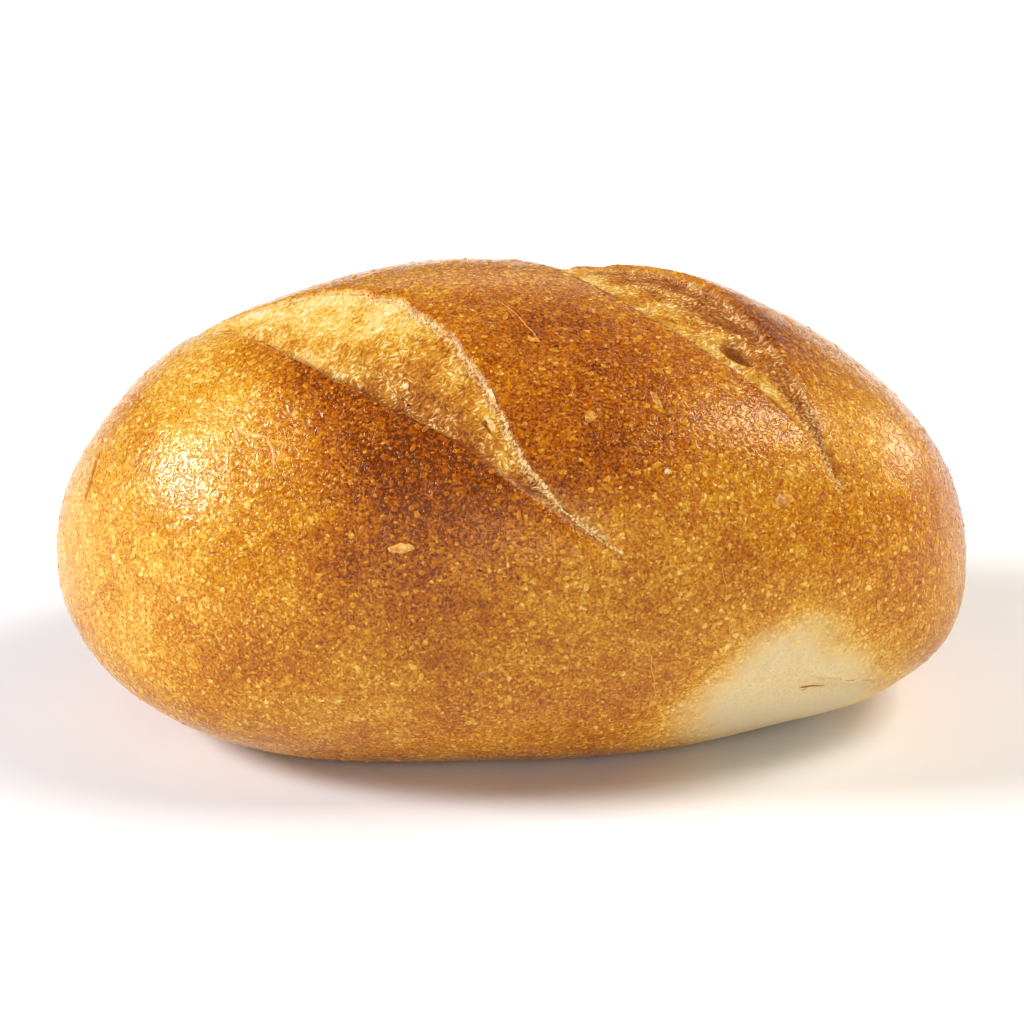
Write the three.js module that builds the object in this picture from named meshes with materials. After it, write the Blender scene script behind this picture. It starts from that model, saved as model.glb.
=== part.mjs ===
// A white bread roll, baked on its flat base: a plump oval loaf with a glossy golden crust, two slanting
// baker's cuts that opened in the oven, and a pale side where it touched the roll beside it.
//
// Millimetres, +Z up, the roll's length along X and its front facing -Y. It rests on z = 0, and the origin
// is under the middle of its bounding box.

import * as THREE from "three";

// ---------------------------------------------------------------- driving dimensions

const LENGTH = 134;
const WIDTH = 86;
const WAIST_HEIGHT = 21.3; // from the base up to the widest level
const CROWN_RISE = 44.2; // from the widest level up to the top of the dough
const UNDERSIDE_DROP = 25; // how far down the round underside would go without the oven floor
const FATTEST_X = -2.8; // the roll is widest and highest a little left of its middle
const BASE_EDGE = 1.5; // half the height over which the base turns up into the side

// Exponents of the rounded outline: 2 is an ellipse, and more is squarer.
const SQUARE_LEFT = 2.08;
const SQUARE_RIGHT = 2.2;
const SQUARE_CROWN = 2.1;
const SQUARE_UNDERSIDE = 2.45;

// The two cuts run about the same way across the top, from the front right to the back left.
const CUT_ANGLE = THREE.MathUtils.degToRad(44); // between a cut and the roll's length, seen from above

// Each cut is a lens of bare crumb. "across" is the place of its middle line, measured square to the cuts.
// "front", "widest" and "back" are places along that line. A cut veers, and its front end curls, across by
// the share or length given. Its near crust rises into an ear, and its far crust rises too. The crumb just
// inside the near lip lies "crumbDepth" down.
const CUTS = [
  {
    across: -25.6,
    front: -35,
    widest: 5,
    back: 56,
    halfWidth: 7.6,
    pointed: 1.9,
    veer: -0.04,
    curl: 9,
    earRise: 1.4,
    farRise: 0.5,
    crumbDepth: 3.2,
  },
  {
    across: 15.4,
    front: -48.5,
    widest: -12,
    back: 38,
    halfWidth: 8.6,
    pointed: 1.05,
    veer: 0.06,
    curl: 0,
    earRise: -0.2,
    farRise: 1.1,
    crumbDepth: 2.0,
  },
];
const CURL_START = 14; // a cut's front end begins to curl this far behind its tip
const CURL_REACH = 20; // and has curled by its given length after this much more
const EAR_REACH = 9; // how far back from a lip its crust begins to rise
const EAR_LEAN = 0.9; // the ear's edge leans over the crumb
const EAR_LEAN_REACH = 2;
const CRUMB_SWELL = 0.7; // under 1, the crumb swells up quickly as it comes out from under the ear
const FAR_STEP = 0.7; // torn skin where the crumb meets the far crust
const WALL_HALF = 0.8; // half the width of a lip's steep wall
const TOP_FADE = 6; // the cuts fade out over this height above the waist

// Past its front end a cut goes on as a closed crack.
const CRACK = { length: 2.5, into: 14, halfWidth: 1.1, depth: 1.0 };

// One large bubble burst in the right-hand cut. Its hollow is flat out to one share of its size, and its rim
// rounds off at another.
const BUBBLE = {
  across: 13.2,
  along: -31.4,
  halfWidth: 2.1,
  halfLength: 3.2,
  depth: 2.2,
  flat: 0.2,
  rim: 1.1,
};

// The lower front is softly flattened: which way that flat faces, how far it is from the middle of the base,
// and half the depth over which it rounds off.
const PRESS = { x: 0.197, y: -0.852, z: -0.485, distance: 30.8, softness: 16.5 };

// The pale side, low on the front right: a shallow dent, folded along a crease, over a foot that flares out.
const PALE = { x: 35, z: 13, halfLength: 18, halfHeight: 9, inset: 1.4 };
const CREASE = { height: 12, halfHeight: 1.1, depth: 0.8 };
const FOOT = { x: 52, z: 3, halfLength: 10, halfHeight: 5, rise: 1.1 };
const FRONT_FADE = 12; // dent, crease and foot all fade out over this distance in front of the roll's middle

// Slow swells that keep the crust from looking turned on a lathe: direction, wavelength, height, phase.
const SWELLS = [
  { x: 0.9, y: 0.4, z: 0.2, wavelength: 52, height: 0.2, phase: 1.2 },
  { x: -0.3, y: 0.8, z: 0.5, wavelength: 37, height: 0.3, phase: 2.3 },
  { x: 0.5, y: -0.2, z: 0.8, wavelength: 27, height: 0.22, phase: 4.0 },
];

// The mesh: slices of the roll, upright and parallel to the cuts, that bow so that its edges follow the lips.
const SLICES = 88;
const POINTS_AROUND = 64;
const FINE_AT_CUTS = 0.7; // how much closer the slices stand in a cut
const FINE_AT_LIPS = 2.2; // and how much closer again at its two lips
const FINE_ON_TOP = 0.3; // how much closer a slice's points stand on top than underneath
const BOW_REACH = 20; // how far from a cut its slices still bow
const NARROWEST_BOW = 0.25; // the least that a cut's slices draw together at its ends, as a share

const HALVINGS = 40; // how often the search for the dough's surface halves its range
const SLOPE_STEP = 0.01; // the step for the dough's slope
const WAIST_STEPS = 1440; // how many places round the waist are tried for the ends of the slices
const SPACING_STEPS = 2000; // how many steps add up the slices' spacing

// ---------------------------------------------------------------- small helpers

const UP = new THREE.Vector3(0, 0, 1);
const ACROSS = new THREE.Vector3(Math.sin(CUT_ANGLE), Math.cos(CUT_ANGLE), 0); // square to the cuts
const ALONG = new THREE.Vector3(-Math.cos(CUT_ANGLE), Math.sin(CUT_ANGLE), 0); // to a cut's back end
const PRESS_SIDE = new THREE.Vector3(PRESS.x, PRESS.y, PRESS.z).normalize();

const { clamp, lerp, smoothstep } = THREE.MathUtils;
const bell = (distance, reach) => Math.exp(-((distance / reach) ** 2));

// 0 well below 0 and x itself well above, with the bend between them rounded.
function softRamp(x, softness) {
  if (x <= -softness) return 0;
  if (x >= softness) return x;
  return (x + softness) ** 2 / (4 * softness);
}

// ---------------------------------------------------------------- the uncut dough

// Under 1 inside the dough, 1 on its surface and over 1 outside.
function doughLevel(p) {
  const x = p.x - FATTEST_X;
  const left = x < 0;
  const halfLength = LENGTH / 2 + (left ? FATTEST_X : -FATTEST_X);
  const square = left ? SQUARE_LEFT : SQUARE_RIGHT;
  const outline = Math.abs(x / halfLength) ** square + Math.abs(p.y / (WIDTH / 2)) ** square;
  const z = p.z - WAIST_HEIGHT;
  const drop = z > 0 ? CROWN_RISE : UNDERSIDE_DROP;
  const squareUp = z > 0 ? SQUARE_CROWN : SQUARE_UNDERSIDE;
  return outline ** (squareUp / square) + Math.abs(z / drop) ** squareUp;
}

// The point where the ray from an inner point leaves the dough.
function doughSurface(inside, direction) {
  let near = 0;
  let far = LENGTH;
  const p = new THREE.Vector3();
  for (let i = 0; i < HALVINGS; i++) {
    const middle = (near + far) / 2;
    p.copy(inside).addScaledVector(direction, middle);
    if (doughLevel(p) < 1) near = middle;
    else far = middle;
  }
  return p;
}

// The dough's outward normal, from the slope of its level.
function doughNormal(p) {
  const slope = (axis) => {
    const high = p.clone();
    const low = p.clone();
    high[axis] += SLOPE_STEP;
    low[axis] -= SLOPE_STEP;
    return doughLevel(high) - doughLevel(low);
  };
  return new THREE.Vector3(slope("x"), slope("y"), slope("z")).normalize();
}

// The point of the waist that lies furthest out square to the cuts on one side, where the slices end.
function sliceEnd(side) {
  const middle = new THREE.Vector3(FATTEST_X, 0, WAIST_HEIGHT);
  let best = middle;
  for (let step = 0; step < WAIST_STEPS; step++) {
    const turn = (2 * Math.PI * step) / WAIST_STEPS;
    const p = doughSurface(middle, new THREE.Vector3(Math.cos(turn), Math.sin(turn), 0));
    if (side * p.dot(ACROSS) > side * best.dot(ACROSS)) best = p;
  }
  return best;
}

// ---------------------------------------------------------------- the cuts

// A cut's half-width at a place along it, 0 at both ends and at its largest where it is widest.
function openHalfWidth(cut, along) {
  const fromFront = (along - cut.front) / (cut.widest - cut.front);
  const fromBack = (cut.back - along) / (cut.back - cut.widest);
  const share = clamp(Math.min(fromFront, fromBack), 0, 1);
  return cut.halfWidth * Math.sin((Math.PI / 2) * share) ** cut.pointed;
}

// How far a cut's middle line has moved across at a place along it.
function cutDrift(cut, along) {
  const curled = Math.max(cut.front + CURL_START - along, 0) / CURL_REACH;
  return cut.veer * along + cut.curl * curled ** 2;
}

// The closed crack past a cut's front end, given the distance from the cut's middle line.
function crack(cut, fromLine, along) {
  const begun = smoothstep(along, cut.front - CRACK.length, cut.front);
  const ended = smoothstep(along, cut.front, cut.front + CRACK.into);
  return -CRACK.depth * begun * (1 - ended) * bell(fromLine, CRACK.halfWidth);
}

// How far the baked crust or crumb stands out from the dough at a place by a cut, and how far it leans over.
function cutRelief(cut, across, along) {
  const half = openHalfWidth(cut, along);
  const open = half / cut.halfWidth;
  const fromLine = across - cut.across - cutDrift(cut, along);
  const pastNear = fromLine + half;
  const pastFar = fromLine - half;
  const nearCrust = cut.earRise * open * bell(Math.min(pastNear, 0), EAR_REACH);
  const farCrust = cut.farRise * open * bell(Math.max(pastFar, 0), EAR_REACH);
  const share = half > 0 ? clamp(pastNear / (2 * half), 0, 1) : 0;
  const crumb = -open * lerp(cut.crumbDepth, FAR_STEP, share ** CRUMB_SWELL);
  const nearWall = smoothstep(pastNear, -WALL_HALF, WALL_HALF);
  const farWall = smoothstep(pastFar, -WALL_HALF, WALL_HALF);
  const rise = lerp(lerp(nearCrust, crumb, nearWall), farCrust, farWall);
  const lean = EAR_LEAN * open * bell(pastNear + WALL_HALF, EAR_LEAN_REACH);
  return { rise: rise + crack(cut, fromLine, along), lean };
}

// ---------------------------------------------------------------- the baked surface

function swell(p) {
  let height = 0;
  for (const s of SWELLS) {
    const phase = (2 * Math.PI * (s.x * p.x + s.y * p.y + s.z * p.z)) / s.wavelength + s.phase;
    height += s.height * Math.sin(phase);
  }
  return height;
}

// The burst bubble's hollow.
function bubble(across, along) {
  const w = (across - BUBBLE.across) / BUBBLE.halfWidth;
  const l = (along - BUBBLE.along) / BUBBLE.halfLength;
  return -BUBBLE.depth * (1 - smoothstep(Math.hypot(w, l), BUBBLE.flat, BUBBLE.rim));
}

// The share of a patch of the front that a point is in.
function inPatch(patch, p) {
  return bell(Math.hypot((p.x - patch.x) / patch.halfLength, (p.z - patch.z) / patch.halfHeight), 1);
}

// The pale side's dent, its crease and the foot below, on the front only.
function paleSide(p) {
  const onFront = smoothstep(-p.y, 0, FRONT_FADE);
  const crease = CREASE.depth * bell(p.z - CREASE.height, CREASE.halfHeight);
  return onFront * (FOOT.rise * inPatch(FOOT, p) - (PALE.inset + crease) * inPatch(PALE, p));
}

// A point of the uncut dough, moved to where the baked roll's surface is.
function bake(p) {
  const across = p.dot(ACROSS);
  const along = p.dot(ALONG);
  const onTop = smoothstep(p.z, WAIST_HEIGHT, WAIST_HEIGHT + TOP_FADE);
  let rise = swell(p) + paleSide(p) + onTop * bubble(across, along);
  let lean = 0;
  for (const cut of CUTS) {
    const relief = cutRelief(cut, across, along);
    rise += onTop * relief.rise;
    lean += onTop * relief.lean;
  }
  const baked = p.clone().addScaledVector(doughNormal(p), rise).addScaledVector(ACROSS, lean);
  baked.addScaledVector(PRESS_SIDE, -softRamp(baked.dot(PRESS_SIDE) - PRESS.distance, PRESS.softness));
  baked.z = softRamp(baked.z, BASE_EDGE);
  return baked;
}

// ---------------------------------------------------------------- the mesh

// How far a slice moves across at a place along it, so that the slices by a cut follow its lips.
function bow(across, along) {
  let move = 0;
  for (const cut of CUTS) {
    const fromLine = across - cut.across;
    const drawn = Math.max(openHalfWidth(cut, along) / cut.halfWidth, NARROWEST_BOW) - 1;
    const beyond = Math.max(Math.abs(fromLine) - cut.halfWidth, 0);
    const inside = clamp(fromLine, -cut.halfWidth, cut.halfWidth);
    move += (cutDrift(cut, along) + inside * drawn) * clamp(1 - beyond / BOW_REACH, 0, 1);
  }
  return move;
}

// How closely the slices stand at a place across.
function sliceDensity(across) {
  let density = 1;
  for (const cut of CUTS) {
    const fromLine = Math.abs(across - cut.across);
    density += FINE_AT_CUTS * bell(fromLine, cut.halfWidth + WALL_HALF);
    density += FINE_AT_LIPS * bell(fromLine - cut.halfWidth, 2 * WALL_HALF);
  }
  return density;
}

// Slice positions from 0 to 1 along the line between the slice ends: round at the ends, close at the cuts.
function slicePositions(left, right) {
  const share = (i) => (1 - Math.cos((Math.PI * i) / SPACING_STEPS)) / 2;
  const running = [0];
  for (let i = 1; i <= SPACING_STEPS; i++) {
    const across = lerp(left.dot(ACROSS), right.dot(ACROSS), share(i - 0.5));
    running.push(running[i - 1] + sliceDensity(across));
  }
  const positions = [];
  for (let slice = 0, i = 0; slice <= SLICES; slice++) {
    const wanted = (running[SPACING_STEPS] * slice) / SLICES;
    while (i < SPACING_STEPS && running[i] < wanted) i++;
    positions.push(share(i));
  }
  return positions;
}

// The dough's surface point of one slice at one angle, bowed towards the lips on top.
function slicePoint(middle, angle) {
  const outwards = new THREE.Vector3()
    .addScaledVector(ALONG, -Math.cos(angle))
    .addScaledVector(UP, -Math.sin(angle));
  const straight = doughSurface(middle, outwards);
  const onTop = smoothstep(straight.z, WAIST_HEIGHT, WAIST_HEIGHT + TOP_FADE);
  const move = onTop * bow(middle.dot(ACROSS), straight.dot(ALONG));
  return doughSurface(middle.clone().addScaledVector(ACROSS, move), outwards);
}

function rollGeometry() {
  const left = sliceEnd(-1);
  const right = sliceEnd(1);
  const positions = slicePositions(left, right);
  // The sphere gives the closed grid. Its v runs from slice to slice and its u round each slice.
  const geometry = new THREE.SphereGeometry(1, POINTS_AROUND, SLICES);
  const { position, uv } = geometry.attributes;
  for (let i = 0; i < position.count; i++) {
    const share = positions[Math.round(uv.getY(i) * SLICES)];
    const middle = left.clone().lerp(right, share);
    const turn = 2 * Math.PI * uv.getX(i);
    const atEnd = share === 0 || share === 1;
    const onDough = atEnd ? middle : slicePoint(middle, turn - FINE_ON_TOP * Math.cos(turn));
    position.setXYZ(i, ...bake(onDough).toArray());
  }
  geometry.deleteAttribute("uv");
  geometry.computeVertexNormals();
  geometry.computeBoundingBox();
  const centre = geometry.boundingBox.getCenter(new THREE.Vector3());
  geometry.translate(-centre.x, -centre.y, -geometry.boundingBox.min.z);
  return geometry;
}

// ---------------------------------------------------------------- the object

const crust = new THREE.MeshStandardMaterial({ color: 0xc98331, roughness: 0.42, metalness: 0 });

const roll = new THREE.Mesh(rollGeometry(), crust);
roll.name = "roll";

const object = new THREE.Group();
object.name = "bread_roll";
object.add(roll);

export default object;
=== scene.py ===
"""A browned bread roll with two slanting baker's cuts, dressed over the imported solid.

Shapes are worked out in millimetres, about the middle of the dough's base, and stored in metres in the
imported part's frame: +Z up, the roll's length along X and its front facing -Y.
"""

import logging
import math
from dataclasses import dataclass, field
from enum import Enum
from typing import Any

import bpy
import numpy as np
from mathutils import Matrix, Vector, noise
from mathutils.bvhtree import BVHTree


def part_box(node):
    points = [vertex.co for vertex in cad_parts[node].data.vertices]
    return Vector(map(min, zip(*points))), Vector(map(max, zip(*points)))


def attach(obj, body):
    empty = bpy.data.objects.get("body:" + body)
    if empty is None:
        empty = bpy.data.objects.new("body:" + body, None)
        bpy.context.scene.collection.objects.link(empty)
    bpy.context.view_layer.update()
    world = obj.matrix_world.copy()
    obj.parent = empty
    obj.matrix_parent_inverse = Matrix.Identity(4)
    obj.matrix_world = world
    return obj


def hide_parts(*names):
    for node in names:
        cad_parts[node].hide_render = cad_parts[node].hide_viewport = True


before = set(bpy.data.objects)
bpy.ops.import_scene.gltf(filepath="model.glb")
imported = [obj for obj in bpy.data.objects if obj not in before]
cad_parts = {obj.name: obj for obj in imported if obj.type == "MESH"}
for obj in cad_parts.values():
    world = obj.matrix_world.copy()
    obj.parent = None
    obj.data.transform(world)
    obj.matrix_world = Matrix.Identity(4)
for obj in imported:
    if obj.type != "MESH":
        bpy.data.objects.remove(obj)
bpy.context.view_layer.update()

LOG = logging.getLogger("bread_roll")

Array = np.ndarray
Colour = tuple[float, float, float, float]

MM = 0.001
SMALLEST_GAP = 0.01
CUT_ANGLE = math.radians(44.0)
ACROSS = np.array([math.sin(CUT_ANGLE), math.cos(CUT_ANGLE), 0.0])
ALONG = np.array([-math.cos(CUT_ANGLE), math.sin(CUT_ANGLE), 0.0])
UP = np.array([0.0, 0.0, 1.0])


# ---------------------------------------------------------------- numbers


def smooth(x: Array, low: float, high: float) -> Array:
    """Rises from 0 at low to 1 at high, level at both ends.

    Args:
        x: The values.
        low: Where the rise begins.
        high: Where it ends.

    Returns:
        The risen shares, one for each value.
    """
    share = np.clip((x - low) / (high - low), 0.0, 1.0)
    return share * share * (3.0 - 2.0 * share)


def bell(distance: Array, reach: float) -> Array:
    """1 where the distance is 0, falling off smoothly over its reach."""
    return np.exp(-((distance / reach) ** 2))


def blend(start: Array, end: Array, share: Array) -> Array:
    """The value that lies a share of the way from start to end."""
    return start + (end - start) * share


def soft_ramp(x: Array, softness: float) -> Array:
    """0 well below 0 and x itself well above, with the bend between them rounded."""
    rounded = (np.clip(x, -softness, softness) + softness) ** 2 / (4.0 * softness)
    return np.where(x >= softness, x, rounded)


def lumps(points: Array, size: float | tuple[float, float, float], seed: float) -> Array:
    """Smooth noise over points.

    Args:
        points: Positions, one to a row.
        size: How wide its lumps are, the same every way or given for each axis.
        seed: Moves the pattern, so that two patterns differ.

    Returns:
        Values from about -1 to 1, one for each point.
    """
    scaled = points / np.asarray(size) + seed
    return np.array([noise.noise(Vector(p)) for p in scaled])


def line_points(along: Array) -> Array:
    """Points on one straight line, for noise that varies along it alone."""
    return np.stack([np.zeros_like(along), along, np.zeros_like(along)], axis=-1)


@dataclass(frozen=True)
class Layer:
    """A layer of smooth noise: its strength, the width of its lumps, and what sets its pattern apart."""

    strength: float
    size: float | tuple[float, float, float]
    seed: float

    def noise(self, points: Array) -> Array:
        """The bare noise at points, from about -1 to 1."""
        return lumps(points, self.size, self.seed)

    def at(self, points: Array) -> Array:
        """The noise at points, at its strength."""
        return self.strength * self.noise(points)


def layered(layers: tuple[Layer, ...], points: Array) -> Array:
    """Several layers of noise at points, one laid over the other."""
    return sum(layer.at(points) for layer in layers)


# ---------------------------------------------------------------- the dough and its cuts


@dataclass(frozen=True)
class Dough:
    """The uncut dough: a rounded oval loaf, in millimetres about the middle of its base."""

    length: float = 134.0
    width: float = 86.0
    waist_height: float = 21.3
    crown_rise: float = 44.2
    underside_drop: float = 25.0
    fattest_x: float = -2.8
    square_left: float = 2.08
    square_right: float = 2.2
    square_crown: float = 2.1
    square_underside: float = 2.45
    halvings: int = 34
    slope_step: float = 0.01

    def level(self, points: Array) -> Array:
        """Under 1 inside the dough, 1 on its surface and over 1 outside.

        Args:
            points: Positions, in the last axis.

        Returns:
            The level at each.
        """
        x = points[..., 0] - self.fattest_x
        left = x < 0
        half_length = self.length / 2 + np.where(left, self.fattest_x, -self.fattest_x)
        square = np.where(left, self.square_left, self.square_right)
        outline = np.abs(x / half_length) ** square
        outline += np.abs(points[..., 1] / (self.width / 2)) ** square
        z = points[..., 2] - self.waist_height
        reach = np.where(z > 0, self.crown_rise, self.underside_drop)
        square_up = np.where(z > 0, self.square_crown, self.square_underside)
        return outline ** (square_up / square) + np.abs(z / reach) ** square_up

    def surface(self, inside: Array, direction: Array) -> Array:
        """The points where rays from inner points leave the dough.

        Args:
            inside: Where the rays start.
            direction: Which way each runs.

        Returns:
            The surface points.
        """
        near = np.zeros(inside.shape[:-1])
        far = np.full_like(near, self.length)
        for _ in range(self.halvings):
            middle = (near + far) / 2
            is_inside = self.level(inside + direction * middle[..., None]) < 1
            near = np.where(is_inside, middle, near)
            far = np.where(is_inside, far, middle)
        return inside + direction * near[..., None]

    def normals(self, points: Array) -> Array:
        """The outward directions at points of the surface, from the slope of the level.

        Args:
            points: The points.

        Returns:
            A direction of length 1 for each.
        """
        steps = np.eye(3) * self.slope_step
        slope = np.stack([self.level(points + s) - self.level(points - s) for s in steps], axis=-1)
        return slope / np.linalg.norm(slope, axis=-1, keepdims=True)


@dataclass(frozen=True)
class Relief:
    """What a cut does to places on the roll's top.

    Rise and lean move the surface, in millimetres. The others are shares: of bare crumb, of torn fibre, of
    how browned the crumb is, partly painted shade under an ear, and of how much darker the lip makes the
    crust.
    """

    rise: Array
    lean: Array
    crumb: Array
    torn: Array
    browned: Array
    lip: Array


@dataclass(frozen=True)
class Cut:
    """One baker's cut: a lens of bare crumb between a near lip and a far lip, ending in a closed crack.

    Places are in millimetres across and along the cuts. A pair of numbers is where a fade begins and ends.
    """

    across: float
    front: float
    widest: float
    back: float
    half_width: float
    pointed: float
    veer: float
    curl: float
    ear_rise: float
    far_rise: float
    crumb_depth: float
    torn_from: float
    torn_to: float
    browned_and_shaded_near: float
    browned_far: float
    browned_front: float
    lip_browned: float

    curl_start: float = 14.0
    curl_reach: float = 20.0
    ear_reach: float = 9.0
    ear_lean: float = 0.9
    ear_lean_reach: float = 2.0
    crumb_swell: float = 0.7
    far_step: float = 0.7
    wall_half: float = 0.55

    crack_length: float = 2.5
    crack_into: float = 14.0
    crack_half: float = 1.0
    crack_depth: float = 1.0
    crack_stray: float = 0.5
    crack_open_half: float = 0.5
    crack_torn: float = 0.9

    fray_in: float = 3.0
    near_wobble: float = 0.35
    far_wobble: float = 0.9
    fine_fraying: float = 0.5

    bare_opening: tuple[float, float] = (0.005, 0.05)
    torn_opening: tuple[float, float] = (0.0, 0.1)
    torn_line: float = 0.25
    torn_line_half: float = 0.55
    torn_least: float = 0.35
    torn_in: float = 6.0
    torn_out: float = 20.0

    lip_reach: float = 6.0
    lip_browned_from: float = 28.0
    lip_browned_full: float = 4.0
    front_browned_from: float = 9.0
    front_browned_full: float = -6.0
    browned_between: tuple[float, float] = (0.15, 0.75)

    def open_half(self, along: Array) -> Array:
        """The half-width at places along the cut, 0 at both ends.

        Args:
            along: The places.

        Returns:
            The half-widths.
        """
        from_front = (along - self.front) / (self.widest - self.front)
        from_back = (self.back - along) / (self.back - self.widest)
        share = np.clip(np.minimum(from_front, from_back), 0.0, 1.0)
        return self.half_width * np.sin(np.pi / 2 * share) ** self.pointed

    def drift(self, along: Array) -> Array:
        """How far the cut's middle line has moved across at places along it."""
        curled = np.maximum(self.front + self.curl_start - along, 0.0) / self.curl_reach
        return self.veer * along + self.curl * curled**2

    def frayed(self, along: Array) -> Array:
        """How much of their full fraying the lips have at places along the cut, 0 at both ends."""
        return np.minimum(self.fray_in * self.open_half(along) / self.half_width, 1.0)

    def near_edge(self, along: Array) -> Array:
        """Where the near lip's crust ends, measured from the cut's middle line; each place is negative."""
        wobble = lumps(line_points(along), size=5.0, seed=3.1)
        return -self.open_half(along) + self.frayed(along) * self.near_wobble * wobble

    def far_edge(self, along: Array) -> Array:
        """Where the far lip's crust begins, frayed as torn dough is, measured from the cut's middle line.

        Args:
            along: Places along the cut.

        Returns:
            The places across.
        """
        places = line_points(along)
        torn = lumps(places, size=2.6, seed=7.7) + self.fine_fraying * lumps(places, size=0.9, seed=9.3)
        return self.open_half(along) + self.frayed(along) * self.far_wobble * torn

    def crack(self, along: Array) -> Array:
        """How much of the closed crack there is at places along the cut.

        Args:
            along: The places.

        Returns:
            Shares from 0 to 1.
        """
        begun = smooth(along, self.front - self.crack_length, self.front)
        ended = smooth(along, self.front, self.front + self.crack_into)
        return begun * (1.0 - ended)

    def tearing(self, along: Array, dying_away: float) -> Array:
        """How badly the far lip is torn at places along the cut, from 0 to 1.

        Args:
            along: The places.
            dying_away: The length over which the tearing ends at the back.

        Returns:
            The shares.
        """
        begun = smooth(along, self.torn_from, self.torn_from + self.torn_in)
        return begun * (1.0 - smooth(along, self.torn_to - dying_away, self.torn_to))

    def relief(self, across: Array, along: Array) -> Relief:
        """The shape and masks of the cut at places on the top.

        Args:
            across: Places square to the cuts.
            along: Places along them.

        Returns:
            What the cut does there.
        """
        opened = self.open_half(along) / self.half_width
        near_edge = self.near_edge(along)
        far_edge = self.far_edge(along)
        line = across - self.across - self.drift(along)
        past_near = line - near_edge
        past_far = line - far_edge
        near_crust = self.ear_rise * opened * bell(np.minimum(past_near, 0.0), self.ear_reach)
        far_crust = self.far_rise * opened * bell(np.maximum(past_far, 0.0), self.ear_reach)
        share = np.clip(past_near / np.maximum(far_edge - near_edge, SMALLEST_GAP), 0.0, 1.0)
        crumb_rise = -opened * blend(self.crumb_depth, self.far_step, share**self.crumb_swell)
        near_wall = smooth(past_near, -self.wall_half, self.wall_half)
        far_wall = smooth(past_far, -self.wall_half, self.wall_half)
        crack = self.crack(along)
        crack_line = line + self.crack_stray * crack * lumps(line_points(along), size=2.2, seed=5.5)
        rise = blend(blend(near_crust, crumb_rise, near_wall), far_crust, far_wall)
        rise = rise - self.crack_depth * crack * bell(crack_line, self.crack_half)
        lean = self.ear_lean * opened * bell(past_near + self.wall_half, self.ear_lean_reach)

        bare = near_wall * (1.0 - far_wall) * smooth(opened, *self.bare_opening)
        crack_open = crack * bell(crack_line, self.crack_open_half)
        torn_edge = bell(past_far + self.torn_line, self.torn_line_half)
        torn_edge = torn_edge * smooth(opened, *self.torn_opening)
        torn_edge = torn_edge * blend(self.torn_least, 1.0, self.tearing(along, self.torn_out))
        # darker crumb towards the near lip: browning, and painted shade under the ear where the lip rises
        browned = blend(self.browned_and_shaded_near, self.browned_far, smooth(share, *self.browned_between))
        to_front = smooth(-along, -self.front_browned_from, -self.front_browned_full)
        lip = self.lip_browned * np.sqrt(opened) * bell(past_near, self.lip_reach)
        return Relief(
            rise=rise,
            lean=lean,
            crumb=np.maximum(bare, crack_open),
            torn=np.maximum(torn_edge, self.crack_torn * crack_open),
            browned=browned + self.browned_front * to_front,
            lip=lip * smooth(-along, -self.lip_browned_from, -self.lip_browned_full),
        )


LEFT_CUT = Cut(
    across=-25.6,
    front=-35.0,
    widest=5.0,
    back=56.0,
    half_width=7.6,
    pointed=1.9,
    veer=-0.04,
    curl=9.0,
    ear_rise=1.4,
    far_rise=0.5,
    crumb_depth=3.2,
    torn_from=-40.0,
    torn_to=14.0,
    # darker crumb by the near lip: browning and painted shade under the ear
    browned_and_shaded_near=0.50,
    browned_far=0.20,
    browned_front=0.40,
    lip_browned=0.34,
)
RIGHT_CUT = Cut(
    across=15.4,
    front=-48.5,
    widest=-12.0,
    back=38.0,
    half_width=8.6,
    pointed=1.05,
    veer=0.06,
    curl=0.0,
    ear_rise=-0.2,
    far_rise=1.1,
    crumb_depth=2.0,
    torn_from=-54.0,
    torn_to=-34.0,
    browned_and_shaded_near=0.22,
    browned_far=0.66,
    browned_front=0.26,
    lip_browned=0.0,
)


@dataclass(frozen=True)
class Patch:
    """A soft round patch of the crust: its centre, how far it reaches along X, Y and Z, and its strength."""

    centre: tuple[float, float, float]
    reach: tuple[float, float, float]
    strength: float

    def share(self, points: Array) -> Array:
        """How much of the patch's strength is felt at points."""
        away = (points - np.array(self.centre)) / np.array(self.reach)
        return self.strength * bell(np.linalg.norm(away, axis=-1), 1.0)


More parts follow.
